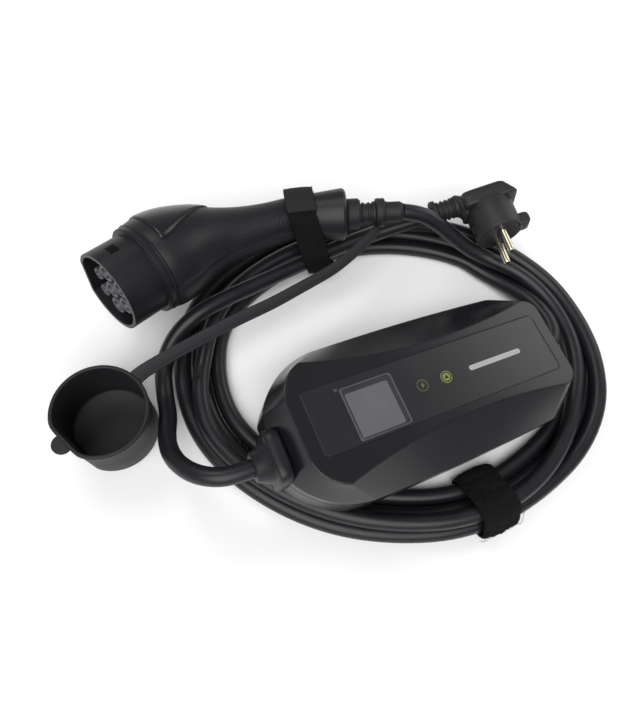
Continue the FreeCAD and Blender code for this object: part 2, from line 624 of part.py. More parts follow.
def case_outline(level, inset=0.0):
    """The box's outline at one level. The sides are nearly straight at the foot and waisted at the deck."""
    deck = level == "deck"
    left = size("deck_left") if deck else size("case_left")
    right = size("case_right")
    half = size("case_half")
    if deck:
        spots = [(right, 21), (right - 10, size("deck_right_half")), (28, size("deck_waist")),
                 (left + 16, size("deck_left_half")), (left, 19)]
        bulges = [(right - 2.4, 28.0), (left + 5.4, 31.0)]
    else:
        spots = [(right, 27), (right - 19, half - 2.5), (0, half), (left + 44, half - 0.5), (left, 20)]
        bulges = [(right - 4.6, 40.5), (left + 16, 39.0)]
    spots = [(x - math.copysign(inset, x) if abs(x) > 60 else x, y - inset) for x, y in spots]
    bulges = [(x - math.copysign(inset * 0.7, x), y - inset * 0.7) for x, y in bulges]
    upper = [Vector(x, y, 0) for x, y in spots]
    lower = [Vector(x, -y, 0) for x, y in spots]
    turns = [Vector(x, y, 0) for x, y in bulges]
    edges = [Part.Arc(upper[0], turns[0], upper[1]), Part.Arc(upper[1], upper[2], upper[3]),
             Part.Arc(upper[3], turns[1], upper[4]), Part.LineSegment(upper[4], lower[4])]
    back = [Vector(spot.x, -spot.y, 0) for spot in turns]
    edges += [Part.Arc(lower[4], back[1], lower[3]), Part.Arc(lower[3], lower[2], lower[1]),
              Part.Arc(lower[1], back[0], lower[0]), Part.LineSegment(lower[0], upper[0])]
    return Part.Wire([edge.toShape() for edge in edges])


def case_level(level, height, inset=0.0):
    wire = case_outline(level, inset)
    wire.translate(Vector(0, 0, height))
    return wire


def case_block(inset):
    """The lower and upper solid of the box, drawn in by the wall where they make the hollow."""
    foot, split, band = size("case_foot"), size("case_split"), size("case_band")
    top = size("case_height") - inset
    lower = Part.makeLoft([case_level("foot", inset, inset + foot * 0.8), case_level("foot", foot + inset * 0.5, inset),
                           case_level("foot", split, inset)], True, True)
    upper = Part.makeLoft([case_level("foot", split, inset), case_level("foot", band, inset),
                           case_level("deck", top, inset * 1.6)], True, True)
    return lower, upper


def rounded_plate(left, right, half, height, thick, radius):
    """A flat plate with rounded corners, from left to right and half to each side of the middle."""
    plate = Part.makeBox(right - left, 2 * half, thick, Vector(left, -half, height))
    upright = [edge for edge in plate.Edges if abs(edge.tangentAt(edge.FirstParameter).z) > 0.9]
    return plate.makeFillet(radius, upright)


def square_prism(side, height, thick):
    spot = Vector(size("window_x") - side / 2, size("window_y") - side / 2, height)
    return Part.makeBox(side, side, thick, spot)


def bar_prism(half, height, thick):
    start, length = size("bar_start"), size("bar_length")
    middle = Part.makeBox(length - 2 * half, 2 * half, thick, Vector(start + half, -half, height))
    ends = [Part.makeCylinder(half, thick, Vector(x, 0, height)) for x in (start + half, start + length - half)]
    return middle.fuse(ends).removeSplitter()


def lens_disc(number, radius, height, thick):
    return Part.makeCylinder(radius, thick, Vector(size("lens_x") + number * size("lens_pitch"), 0, height))


def gland_spot(side):
    if side == "left":
        return Vector(size("case_left"), size("left_gland_y"), size("gland_z"))
    return Vector(size("case_right"), 0, size("gland_z"))


def gland_hole(side):
    radius = size("gland_spigot") + size("fit_gap")
    span = 12.0
    return Part.makeCylinder(radius, 2 * span, gland_spot(side) - Vector(span, 0, 0), Vector(1, 0, 0))


def boss_spots():
    return [(sx * size("boss_x"), sy * size("boss_y")) for sx in (-1, 1) for sy in (-1, 1)]


def seal_loop(grow):
    """The closed path of the seal, half in each shell's rim."""
    middle = size("case_wall") / 2
    half = size("seal_width") / 2 + grow
    tall = size("seal_height") / 2 + grow
    outer = Part.Face(case_level("foot", size("case_split") - tall, middle - half))
    inner = Part.Face(case_level("foot", size("case_split") - tall, middle + half))
    return outer.cut(inner).extrude(Vector(0, 0, 2 * tall))


def make_case():
    """Base tray and waisted cover; screws from below hold them together round a seal."""
    lower, upper = case_block(0.0)
    lower_hollow, upper_hollow = case_block(size("case_wall"))
    split, top, wall = size("case_split"), size("case_height"), size("case_wall")
    floor = wall
    radius = size("boss_radius")
    shaft = size("screw_radius") + size("screw_gap")
    head = size("screw_head") + size("screw_gap")
    base_bosses, cover_bosses, shafts, heads = [], [], [], []
    for x, y in boss_spots():
        base_bosses.append(Part.makeCylinder(radius, split - floor, Vector(x, y, floor)))
        cover_bosses.append(Part.makeCylinder(radius, top - wall - split, Vector(x, y, split)))
        shafts.append(Part.makeCylinder(shaft, split + 12, Vector(x, y, 0)))
        heads.append(Part.makeCylinder(head, 3.0, Vector(x, y, 0)))
    holes = [gland_hole("left"), gland_hole("right")]
    groove = seal_loop(size("fit_gap") / 4)
    base = lower.cut(lower_hollow).fuse(base_bosses).cut(shafts + heads + holes + [groove])
    panel_left, panel_right = size("panel_left"), size("panel_left") + size("panel_length")
    gap, thick = size("panel_gap"), size("panel_thick")
    recess = rounded_plate(panel_left - gap, panel_right + gap, size("panel_half") + gap, top - thick, thick + 5,
                           size("panel_round") + gap)
    openings = [square_prism(size("window_side") - 2 * size("window_step"), top - 20, 30),
                bar_prism(size("bar_half") + gap, top - 20, 30)]
    openings += [lens_disc(number, size("lens_radius") + gap, top - 20, 30) for number in range(2)]
    cover = upper.cut(upper_hollow).fuse(cover_bosses).cut(shafts + holes + [groove, recess] + openings)
    solid_feature("case_base", base.removeSplitter(), case_place())
    solid_feature("case_cover", cover.removeSplitter(), case_place())
    solid_feature("case_seal", seal_loop(0).cut(holes), case_place())
    make_panel(top, thick)


def make_panel(top, thick):
    """The printed panel in the deck's recess, the display window, the light bar and two round status lenses."""
    left, right = size("panel_left"), size("panel_left") + size("panel_length")
    gap = size("panel_gap")
    panel = rounded_plate(left, right, size("panel_half"), top - thick, thick, size("panel_round"))
    side, step = size("window_side"), size("window_step")
    panel = panel.cut([square_prism(side, top - thick, thick), bar_prism(size("bar_half") + gap, top - thick, thick)]
                      + [lens_disc(number, size("lens_radius") + gap, top - thick, thick) for number in range(2)])
    window = square_prism(side - 2 * gap, top - thick, thick + 0.3)
    window = window.fuse(square_prism(side - 2 * step - 2 * gap, top - size("case_wall"), size("case_wall")))
    bar = bar_prism(size("bar_half"), top - size("case_wall"), size("case_wall") + 0.1)
    lenses = [lens_disc(number, size("lens_radius"), top - size("case_wall"), size("case_wall") + 0.05)
              for number in range(2)]
    solid_feature("front_panel", panel, case_place())
    solid_feature("display_window", window.removeSplitter(), case_place())
    solid_feature("light_bar", bar, case_place())
    solid_feature("status_lights", Part.makeCompound(lenses), case_place())


def make_case_screws():
    """Four screws up through the base bosses into the cover's bosses."""
    radius, head = size("screw_radius"), size("screw_head")
    length = size("case_split") + 8
    screws = []
    for x, y in boss_spots():
        shank = Part.makeCylinder(radius, length - 1, Vector(x, y, 2.9))
        cap = Part.makeCylinder(head, 2.0, Vector(x, y, 1.0))
        slot = Part.makeBox(2 * head, 0.8, 0.7, Vector(x - head, y - 0.4, 1.0))
        screws.append(shank.fuse(cap).cut(slot))
    solid_feature("case_screws", Part.makeCompound(screws), case_place())


def box_body(label, length, width, height, x, y, z):
    """A block-shaped component, centred on x and y, standing at z; all its sizes are bound."""
    body = new_body(label)
    outline = attach(body, label + "_outline", "XY_Plane", z)
    add_rectangle(outline, length, width, x, y)
    pad(body, outline, height)
    return body


def make_electronics():
    """The power board on its bosses with relays, transformer, current sensor and terminal block, and the display."""
    top_face = "Sizes.board_height + Sizes.board_thick"
    board = box_body("circuit_board", "Sizes.board_length", "Sizes.board_width", "Sizes.board_thick",
                     "0", "0", "Sizes.board_height")
    holes = attach(board, "board_holes", "XY_Plane", top_face)
    for sx in ("-", ""):
        for sy in ("-", ""):
            add_circle(holes, "Sizes.boss_radius + Sizes.fit_gap", sx + "Sizes.boss_x", sy + "Sizes.boss_y")
    pocket(board, holes, "Sizes.board_thick")
    board.Placement = case_place()
    relays = doc.addObject("Part::Compound", "relays")
    relays.Label = "relays"
    cans = []
    for number in range(2):
        can = doc.addObject("Part::Box", "relay_can_%d" % number)
        bind(can, "Length", "Sizes.relay_length")
        bind(can, "Width", "Sizes.relay_width")
        bind(can, "Height", "Sizes.relay_height")
        bind(can, "Placement.Base.x", "Sizes.relay_x + %d * Sizes.relay_pitch - Sizes.relay_length / 2" % number)
        bind(can, "Placement.Base.y", "Sizes.relay_y - Sizes.relay_width / 2")
        bind(can, "Placement.Base.z", top_face)
        cans.append(can)
    relays.Links = cans
    relays.Placement = case_place()
    core = box_body("transformer", "Sizes.core_side", "Sizes.core_side * 0.8", "Sizes.core_height",
                    "Sizes.core_x", "Sizes.core_y", top_face)
    coil = attach(core, "transformer_coil", "XY_Plane", top_face)
    add_rectangle(coil, "Sizes.core_side * 0.7", "Sizes.core_side", "Sizes.core_x",
                  "Sizes.core_y")
    pad(core, coil, "Sizes.core_height * 0.8")
    core.Placement = case_place()
    sensor = new_body("current_sensor")
    revolve(sensor, "sensor_profile", [
        ("Sizes.toroid_bore", "0"), ("Sizes.toroid_radius", "0"), ("Sizes.toroid_radius", "Sizes.toroid_width"),
        ("Sizes.toroid_bore", "Sizes.toroid_width")])
    turn = Rotation(Vector(0, 1, 0), 90)
    lift = value(top_face) + size("toroid_radius")
    sensor.Placement = case_place() * Placement(Vector(size("toroid_x"), size("toroid_y"), lift), turn)
    block = box_body("terminal_block", "Sizes.block_width", "Sizes.block_length", "Sizes.block_height",
                     "Sizes.block_x", "0", top_face)
    ways = attach(block, "terminal_ways", "YZ_Plane", "Sizes.block_x - Sizes.block_width / 2")
    for number in range(3):
        add_circle(ways, "Sizes.way_radius", "%d * Sizes.way_pitch" % (number - 1), top_face + " + Sizes.way_height")
    pocket(block, ways, "Sizes.block_width * 0.6", backwards=True)
    block.Placement = case_place()
    screen_top = "Sizes.case_height - Sizes.case_wall - Sizes.screen_drop"
    screen = box_body("display_module", "Sizes.screen_side", "Sizes.screen_side", "Sizes.screen_thick",
                      "Sizes.window_x", "Sizes.window_y", screen_top + " - Sizes.screen_thick")
    screen.Placement = case_place()


def gland_nut(label, radius, length, mouth_length, place, fluted):
    """A cable gland: a clamping nut with a tapered mouth, and a spigot that seats in the case wall."""
    body = new_body(label)
    bore = "Sizes.cable_radius + 0.02"
    revolve(body, label + "_profile", [
        (bore, "-Sizes.case_wall - 4"), ("Sizes.gland_spigot", "-Sizes.case_wall - 4"), ("Sizes.gland_spigot", "0"),
        (radius, "0"), (radius, length + " * 0.72"), (radius + " - 1.6", length + " * 0.86"),
        ("Sizes.gland_neck", length), ("Sizes.gland_mouth", length + " + " + mouth_length),
        (bore, length + " + " + mouth_length)])
    if fluted:
        flute = attach(body, label + "_flute", "XY_Plane", length)
        add_circle(flute, "Sizes.flute_radius", radius + " + Sizes.flute_radius * 0.45")
        cut = pocket(body, flute, length + " - 1")
        around(body, cut, "Sizes.flute_count", label + "_flutes")
    body.Placement = place


def make_glands():
    outward = Rotation(Vector(0, 1, 0), -90)
    left = case_place() * Placement(gland_spot("left"), outward)
    right = case_place() * Placement(gland_spot("right"), Rotation(Vector(0, 1, 0), 90))
    gland_nut("left_gland", "Sizes.gland_radius", "Sizes.gland_length", "Sizes.left_mouth", left, True)
    gland_nut("right_gland", "Sizes.right_gland_radius", "Sizes.right_gland_length", "Sizes.right_mouth", right,
              False)


# Mains plug

def make_plug_shell():
    """The angled plug body: a round head, a bevelled hood behind it, a neck to the cable side and a pull lug."""
    radius, depth, rounding = size("plug_radius"), size("plug_depth"), size("plug_round")
    head = Part.makeCylinder(radius, depth, Vector(0, 0, -depth))
    back = [edge for edge in head.Edges if edge.Closed and edge.CenterOfMass.z < -depth + 1]
    head = head.makeFillet(rounding, back)
    axis = size("plug_axis")
    neck = Part.makeCone(size("neck_big"), size("neck_small"), size("plug_neck"), Vector(0, 0, axis), Vector(-1, 0, 0))
    lug = Part.makeBox(size("lug_length") + 4, size("lug_height"), size("lug_width"),
                       Vector(radius - 4, -size("lug_height") / 2, -size("lug_width") - 1))
    upright = [edge for edge in lug.Edges if edge.BoundBox.XMin > radius + 2 and edge.BoundBox.ZLength > 2]
    lug = lug.makeFillet(3.0, upright)
    shell = head.fuse([plug_hood(), neck, lug]).removeSplitter()
    seat = Part.makeCylinder(size("face_radius") + size("fit_gap"), size("face_thick"),
                             Vector(0, 0, -size("face_thick")))
    shell = shell.cut(seat)
    pins = [Part.makeCylinder(size("pin_shank") + size("fit_gap") / 2, size("pin_root"),
                              Vector(0, side * size("pin_spacing") / 2, -size("pin_root"))) for side in (-1, 1)]
    groove = clip_solids(size("fit_gap"))
    solid_feature("plug_shell", shell.cut(pins).cut(groove), plug_place())


def plug_hood():
    """The block behind the head, where the pins' wires turn to the cable: one back corner is bevelled."""
    left, right, half = size("hood_left"), size("hood_right"), size("hood_half")
    front = 2 * size("hood_round") - size("plug_depth")
    back = -size("plug_depth") - size("hood_depth")
    corners = [(-left, front), (right, front), (right, -size("plug_depth")), (right - size("hood_bevel"), back),
               (-left, back), (-left, front)]
    outline = Part.makePolygon([Vector(x, -half, z) for x, z in corners])
    hood = Part.Face(outline).extrude(Vector(0, 2 * half, 0))
    edges = [edge for edge in hood.Edges if edge.BoundBox.ZMin < front - 0.5]
    hood = hood.makeFillet(size("hood_round"), edges)
    behind = Part.makeBox(4 * left, 4 * left, size("hood_depth") + 1,
                          Vector(-2 * left, -2 * left, back - 1))
    return hood.common(behind)


def clip_solids(grow):
    """Two earth strips in the plug's edges, left and right of the pins, folded round onto the face."""
    radius, thick = size("plug_radius"), size("clip_thick")
    width, length = size("clip_width") + 2 * grow, size("clip_length") + grow
    strips = []
    for side in (-1, 1):
        inner = radius - 2 * thick - grow
        start = min(side * inner, side * (radius + 2))
        strips.append(Part.makeBox(radius + 2 - inner, width, length, Vector(start, -width / 2, -length)))
    rim = Part.makeCylinder(radius - 0.4 if grow == 0 else radius + 2, length, Vector(0, 0, -length))
    return Part.makeCompound([strip.common(rim) for strip in strips])


def make_plug_inside():
    """The moulded face that holds the pins, the two round pins and the two earth strips."""
    thick = size("face_thick")
    face = Part.makeCylinder(size("face_radius"), thick, Vector(0, 0, -thick))
    pins, holes = [], []
    for side in (-1, 1):
        low = Vector(0, side * size("pin_spacing") / 2, -size("pin_root"))
        face_spot = low + Vector(0, 0, size("pin_root"))
        pin = Part.makeCylinder(size("pin_radius"), size("pin_length"), face_spot)
        tip = [edge for edge in pin.Edges if edge.Closed and edge.CenterOfMass.z > 1]
        pin = pin.makeFillet(size("pin_tip"), tip)
        shank = Part.makeCylinder(size("pin_shank"), size("pin_root") + 0.5, low)
        pins.append(pin.fuse(shank).removeSplitter())
        holes.append(Part.makeCylinder(size("pin_shank") + size("fit_gap") / 2, thick + 1, low
                                       + Vector(0, 0, size("pin_root") - thick - 0.5)))
    rib = Part.makeBox(2.0, 2 * size("rib_half"), 0.8, Vector(-1, -size("rib_half"), 0))
    solid_feature("plug_face", face.fuse(rib).cut(holes), plug_place())
    solid_feature("plug_pins", Part.makeCompound(pins), plug_place())
    solid_feature("earth_clips", clip_solids(0.0), plug_place())


def make_plug_boot():
    """The ribbed sleeve on the cable at the plug, with a bead at its free end."""
    body = new_body("plug_boot")
    bore = "Sizes.cable_radius + 0.02"
    corners = [(bore, "0"), ("Sizes.neck_small", "0"), ("Sizes.boot_end", "3")]
    for number in range(4):
        low = "3.6 + %d * Sizes.boot_pitch" % number
        corners += [("Sizes.boot_end - 0.9", low), ("Sizes.boot_end", low + " + 0.4"),
                    ("Sizes.boot_end", low + " + Sizes.boot_rib"), ("Sizes.boot_end - 0.9", low + " + Sizes.boot_rib + 0.4")]
    corners += [("Sizes.boot_end - 0.9", "Sizes.boot_length - 4"), ("Sizes.boot_bead", "Sizes.boot_length - 3.4"),
                ("Sizes.boot_bead", "Sizes.boot_length - 0.8"), ("Sizes.boot_bead - 0.8", "Sizes.boot_length"),
                (bore, "Sizes.boot_length")]
    revolve(body, "plug_boot_profile", corners)
    turn = Rotation(Vector(0, 1, 0), -90)
    body.Placement = plug_place() * Placement(Vector(-size("plug_neck"), 0, size("plug_axis")), turn)


# Cables

def rounded_path(points, closed=False):
    """Straight runs joined by tangent arcs, each as large as its two runs allow. Prints the radii."""
    count = len(points)
    corners = range(count) if closed else range(1, count - 1)
    arcs, radii = {}, []
    for number in corners:
        before, here, after = points[number - 1], points[number], points[(number + 1) % count]
        shorter = min((here - before).Length, (after - here).Length)
        into, out = (here - before).normalize(), (after - here).normalize()
        turn = into.getAngle(out)
        reach = 0.45 * shorter
        radii.append(reach / math.tan(turn / 2))
        start, end = here - into * reach, here + out * reach
        middle = (out - into).normalize()
        centre = here + middle * (reach / math.sin(turn / 2))
        top = centre + (here - centre).normalize() * radii[-1]
        arcs[number] = (start, top, end)
    edges = []
    legs = range(count) if closed else range(count - 1)
    for number in legs:
        after = (number + 1) % count
        start = arcs[number][2] if number in arcs else points[number]
        end = arcs[after][0] if after in arcs else points[after]
        edges.append(Part.LineSegment(start, end).toShape())
        if after in arcs:
            edges.append(Part.Arc(*arcs[after]).toShape())
    return Part.Wire(edges), radii


def on_table(points):
    shift = Vector(size("origin_x"), size("origin_y"), 0)
    return [Vector(*point) - shift for point in points]


def make_tube(label, points):
    """A plain round cable along a rounded path; its volume is set against section times length."""
    path, radii = rounded_path(points)
    radius = size("cable_radius")
    start = points[0]
    ring = Part.Wire(Part.makeCircle(radius, start, points[1] - points[0]))
    shell = path.makePipeShell([ring], True, True)
    tube = shell if shell.ShapeType == "Solid" else Part.Solid(shell)
    wanted = math.pi * radius * radius * path.Length
    print("%s: length %.0f mm, tightest radius %.0f mm, volume ratio %.4f"
          % (label, path.Length, min(radii), tube.Volume / wanted))
    print("   radii", [round(number) for number in radii])
    solid_feature(label, tube)
    return path


def grown_tube(path, points, gap):
    """The room that a cable needs along its path."""
    ring = Part.Wire(Part.makeCircle(size("cable_radius") + gap, points[0], points[1] - points[0]))
    shell = path.makePipeShell([ring], True, True)
    return shell if shell.ShapeType == "Solid" else Part.Solid(shell)


# the plug's lead: out of the left gland, down round the coil's left side, over it and up to the plug
PLUG_LEAD = [
    (-55.4, -91.1, 53.9), (-67.4, -91.9, 52.5), (-79.0, -88.7, 48.0), (-88.8, -81.8, 41.5), (-95.8, -72.0, 33.5),
    (-99.1, -60.5, 25.0), (-100.3, -46.5, 16.5), (-105.0, -31.0, 11.6), (-107.8, -12.5, 14.5),
    (-101.0, 6.5, 23.0), (-86.0, 21.5, 29.4), (-68.5, 34.0, 28.6), (-50.0, 46.5, 25.6), (-30.0, 59.5, 23.4),
    (-9.0, 72.5, 22.0), (12.0, 84.5, 22.4), (32.0, 93.0, 24.5), (50.0, 99.6, 27.0), (66.0, 104.8, 29.8)]

# the connector's lead: first out of the right gland and down onto the coil's inner side
GUN_LEAD_START = [(160.2, 8.7, 22.3), (165.0, 13.5, 21.8), (167.3, 20.5, 21.4), (167.2, 28.5, 21.0),
                  (164.2, 37.5, 20.4), (159.2, 46.0, 19.4)]

# middle line of the coil's loop on the table
COIL_LOOP = [
    (-84.6, -6.0), (-83.5, 20.0), (-73.5, 44.5), (-53.0, 67.0), (-25.0, 87.0), (8.0, 101.0), (44.0, 108.5),
    (81.0, 108.5), (115.0, 100.5), (145.0, 84.5), (170.5, 63.0), (186.0, 35.0), (190.5, 5.0), (185.0, -25.0),
    (170.0, -52.5), (146.5, -76.5), (117.5, -95.0), (84.0, -105.5), (48.0, -107.0), (13.0, -102.5), (-19.0, -91.5),
    (-47.5, -74.5), (-69.0, -54.0), (-80.0, -31.0)]

# and last off the coil, past the plug's pins and up into the connector's tail
GUN_LEAD_END = [
    (180.2, -22.0, 17.8), (185.2, 1.0, 17.8), (183.0, 26.0, 17.8), (172.8, 49.5, 17.9), (158.6, 65.6, 18.2),
    (143.5, 75.0, 19.4), (129.5, 81.0, 19.8), (116.5, 85.2, 22.6), (103.5, 88.6, 28.6), (91.0, 92.0, 37.0),
    (78.5, 95.2, 45.2), (66.0, 97.3, 50.9)]


def coil_section():
    """The coil's outer shape in section: three cables side by side and one more on the outer two."""
    cable = size("cable_radius")
    low = size("coil_lift") + cable
    top = low + math.sqrt(3) * cable
    arcs = [(-2 * cable, low, (90, 135, 180, 225, 270)), (2 * cable, low, (270, 315, 0, 30)),
            (cable, top, (30, 75, 120, 165))]
    corners = []
    for side, lift, angles in arcs:
        for angle in angles:
            turn = math.radians(angle)
            corners.append((side + cable * math.cos(turn), lift + cable * math.sin(turn)))
    corners.append((0.1 * cable, low + cable))
    return corners


def pressing_on_coil(gap):
    """The room taken by everything that lies on the coil: connector, box and the cables beside it."""
    handle = handle_loft(gap)
    handle.Placement = gun_place()
    case = case_block(-2 * gap)[0]
    case.Placement = case_place()
    return [handle, case]


def make_coil(beside):
    """Four turns of cable as one closed solid, swept round the loop and pressed in by what lies on it."""
    points = on_table([(x, y, 0) for x, y in COIL_LOOP])
    path, radii = rounded_path(points, closed=True)
    first = path.Edges[0]
    start = first.valueAt(first.FirstParameter)
    ahead = first.tangentAt(first.FirstParameter)
    outward = Vector(ahead.y, -ahead.x, 0) * outward_sign(points)
    corners = [start + outward * side + Vector(0, 0, lift) for side, lift in coil_section()]
    profile = Part.makePolygon(corners + [corners[0]])
    shell = path.makePipeShell([profile], True, True)
    coil = shell if shell.ShapeType == "Solid" else Part.Solid(shell)
    if coil.Volume < 0:
        coil.reverse()
    coil = coil.cut(pressing_on_coil(size("fit_gap")) + beside)
    print("coil: middle line %.0f mm, tightest radius %.0f mm, volume %.0f mm3"
          % (path.Length, min(radii), coil.Volume))
    solid_feature("gun_lead_coil", coil)


def outward_sign(points):
    """+1 where the loop runs counter-clockwise, so that the right-hand side of travel points outward."""
    area = sum(a.x * b.y - b.x * a.y for a, b in zip(points, points[1:] + points[:1]))
    return 1 if area > 0 else -1


def hull_wire(corners):
    """A closed rounded outline given by circles (across, up, radius), joined by their outer tangents."""
    spots = []
    count = len(corners)
    for number in range(count):
        a, b = corners[number], corners[(number + 1) % count]
        run = Vector(b[0] - a[0], b[1] - a[1], 0)
        angle = math.atan2(run.y, run.x) - math.acos((a[2] - b[2]) / run.Length)
        out = Vector(math.cos(angle), math.sin(angle), 0)
        spots.append((Vector(a[0], a[1], 0) + out * a[2], Vector(b[0], b[1], 0) + out * b[2], out))
    edges = []
    for number in range(count):
        here = corners[(number + 1) % count]
        leaving, joining = spots[number], spots[(number + 1) % count]
        edges.append(Part.LineSegment(leaving[0], leaving[1]).toShape())
        middle = (leaving[2] + joining[2]).normalize()
        top = Vector(here[0], here[1], 0) + middle * here[2]
        edges.append(Part.Arc(leaving[1], top, joining[0]).toShape())
    return Part.Wire(edges)


def make_straps():
    """Two hook-and-loop straps: one ties the handle to the coil, the other ties the coil by itself."""
    cable, lift = size("cable_radius"), size("coil_lift")
    low = lift + cable
    gap, thick = size("strap_gap"), size("strap_thick")
    shift = Vector(size("origin_x"), size("origin_y"), 0)
    bands = [
        ("handle_strap", Vector(size("strap_one_x"), size("strap_one_y"), 0), 101.0, size("handle_strap_width"),
         [(-15.4, low, cable), (15.5, low, cable), (2.6, size("gun_z") - 5.4, 17.3), (-23.2, 22.4, 8.7)]),
        ("coil_strap", Vector(size("strap_two_x"), size("strap_two_y"), 0), -66.0, size("coil_strap_width"),
         [(-2 * cable - 1.6, low, cable), (2 * cable + 1.6, low, cable),
          (cable + 1.6, low + math.sqrt(3) * cable, cable + 0.1),
          (cable - 1.6, low + math.sqrt(3) * cable, cable + 0.1)])]
    for label, spot, yaw, width, circles in bands:
        hull = hull_wire(circles)
        outer = Part.Face(hull.makeOffset2D(gap + thick))
        inner = Part.Face(hull.makeOffset2D(gap))
        band = outer.cut(inner).extrude(Vector(0, 0, width))
        turn = Rotation(Vector(0, 0, 1), yaw) * Rotation(Vector(1, 0, 0), 90)
        centred = Placement(Vector(0, 0, -width / 2), Rotation())
        solid_feature(label, band, Placement(spot - shift, turn) * centred)


def build():
    fill_sheet()
    make_nose_shroud()
    make_contact_carrier()
    make_contacts()
    make_collar_ring()
    make_handle()
    make_handle_screws()
    make_cord_clamp()
    make_tail_nut()
    make_gun_cable_boot()
    make_dust_cap()
    make_case()
    make_case_screws()
    make_electronics()
    make_glands()
    make_plug_shell()
    make_plug_inside()
    make_plug_boot()
    beside = []
    for label, points in (("plug_lead", plug_lead_route()), ("gun_lead_start", start_route()),
                          ("gun_lead_end", end_route())):
        path = make_tube(label, points)
        beside.append(grown_tube(path, points, size("fit_gap") if label == "plug_lead" else 0.0))
    make_coil(beside)
    make_straps()
    doc.recompute()


def mouth(place, along):
    """The point on a piece's own Z axis, so that a cable starts on the face that it comes out of."""
    return place.multVec(Vector(0, 0, along))


def plug_lead_route():
    left = case_place() * Placement(gland_spot("left"), Rotation(Vector(0, 1, 0), -90))
    turn = Rotation(Vector(0, 1, 0), -90)
    boot = plug_place() * Placement(Vector(-size("plug_neck"), 0, size("plug_axis")), turn)
    first = mouth(left, size("gland_length") + size("left_mouth"))
    return [first] + on_table(PLUG_LEAD) + [mouth(boot, size("boot_length"))]


def start_route():
    right = case_place() * Placement(gland_spot("right"), Rotation(Vector(0, 1, 0), 90))
    return [mouth(right, size("right_gland_length") + size("right_mouth"))] + on_table(GUN_LEAD_START)


def end_route():
    return on_table(GUN_LEAD_END) + [mouth(tail_place(0), size("sleeve_length") + 2)]


NODES = [
    "nose_shroud", "contact_carrier", "power_contacts", "signal_contacts", "collar_ring", "handle_shell_left",
    "handle_shell_right", "top_trim", "handle_screws", "cord_clamp", "tail_nut", "gun_cable_boot", "dust_cap",
    "case_base", "case_cover", "case_seal", "front_panel", "display_window", "light_bar", "status_lights",
    "case_screws", "circuit_board", "relays", "transformer", "current_sensor", "terminal_block", "display_module",
    "left_gland", "right_gland", "plug_shell", "plug_face", "plug_pins", "earth_clips", "plug_boot",
    "plug_lead", "gun_lead_start", "gun_lead_coil", "gun_lead_end", "handle_strap", "coil_strap"]


def check_model():
    """Stops before anything is written if an object failed or a sub-part has no valid shape."""
    for thing in doc.Objects:
        if "Invalid" in thing.State or "Error" in thing.State:
            raise RuntimeError("%s is in state %s" % (thing.Label, thing.State))
    for label in NODES:
        shape = doc.getObjectsByLabel(label)[0].Shape
        if shape.isNull() or not shape.isValid() or shape.Volume <= 0:
            raise RuntimeError("%s has no valid solid" % label)


def report():
    """Prints the box of the pieces that the frame is centred on, and each node's solids and volume."""
    cords = ("plug", "gun_lead", "earth", "handle_strap", "coil_strap")
    whole = FreeCAD.BoundBox()
    total = FreeCAD.BoundBox()
    for label in NODES:
        shape = doc.getObjectsByLabel(label)[0].Shape
        total.add(shape.BoundBox)
        if not label.startswith(cords):
            whole.add(shape.BoundBox)
        box = shape.BoundBox
        print("%-20s solids %d volume %9.0f  z %.1f to %.1f" % (label, len(shape.Solids), shape.Volume,
                                                                 box.ZMin, box.ZMax))
    print("frame box centre %.2f %.2f, low %.2f, size %.1f %.1f %.1f"
          % (whole.Center.x, whole.Center.y, whole.ZMin, whole.XLength, whole.YLength, whole.ZLength))
    print("whole box", [round(number, 1) for number in (total.XMin, total.XMax, total.YMin, total.YMax,
                                                          total.ZMin, total.ZMax)])


def write_steps():
    os.makedirs("parts", exist_ok=True)
    for label in NODES:
        doc.getObjectsByLabel(label)[0].Shape.exportStep("parts/%s.step" % label)


build()
check_model()
report()
write_steps()
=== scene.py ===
import math
import random
import bmesh
import bpy
from mathutils import Matrix, Vector, noise


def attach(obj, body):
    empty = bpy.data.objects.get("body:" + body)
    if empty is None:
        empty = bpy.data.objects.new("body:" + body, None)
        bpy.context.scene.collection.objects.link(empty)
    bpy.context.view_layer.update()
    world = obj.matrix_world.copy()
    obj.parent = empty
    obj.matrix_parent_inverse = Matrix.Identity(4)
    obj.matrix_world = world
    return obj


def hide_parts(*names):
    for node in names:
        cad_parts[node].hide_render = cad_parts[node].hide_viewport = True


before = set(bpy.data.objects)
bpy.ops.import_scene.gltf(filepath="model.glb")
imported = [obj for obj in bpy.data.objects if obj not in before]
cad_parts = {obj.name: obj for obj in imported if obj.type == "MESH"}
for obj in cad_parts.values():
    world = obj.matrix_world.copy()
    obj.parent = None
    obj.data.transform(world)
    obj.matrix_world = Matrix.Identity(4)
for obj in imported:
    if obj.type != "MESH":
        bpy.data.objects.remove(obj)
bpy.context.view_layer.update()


# Camera
# The lead lies on a table and is looked at from above its front edge, a little to the left of its middle.
# The lens is a short one, close to the object, so the connector at the back still shows from above.

SENSOR_MM = 36.0
LENS_MM = 28.42
EYE_AT = (-0.03621, -0.14998, 0.385)
LOOK_RIGHT = Vector((0.99524, 0.0, 0.09741))
LOOK_UP = Vector((-0.03474, 0.93424, 0.35494))

scene = bpy.context.scene
eye = bpy.data.cameras.new("eye")
eye.sensor_fit = "VERTICAL"
eye.sensor_height = SENSOR_MM
eye.lens = LENS_MM
eye.clip_start = 0.01
eye.clip_end = 20.0
camera = bpy.data.objects.new("camera", eye)
scene.collection.objects.link(camera)
axes = Matrix((LOOK_RIGHT, LOOK_UP, LOOK_RIGHT.cross(LOOK_UP))).transposed()
camera.matrix_world = Matrix.Translation(EYE_AT) @ axes.to_4x4()
scene.camera = camera


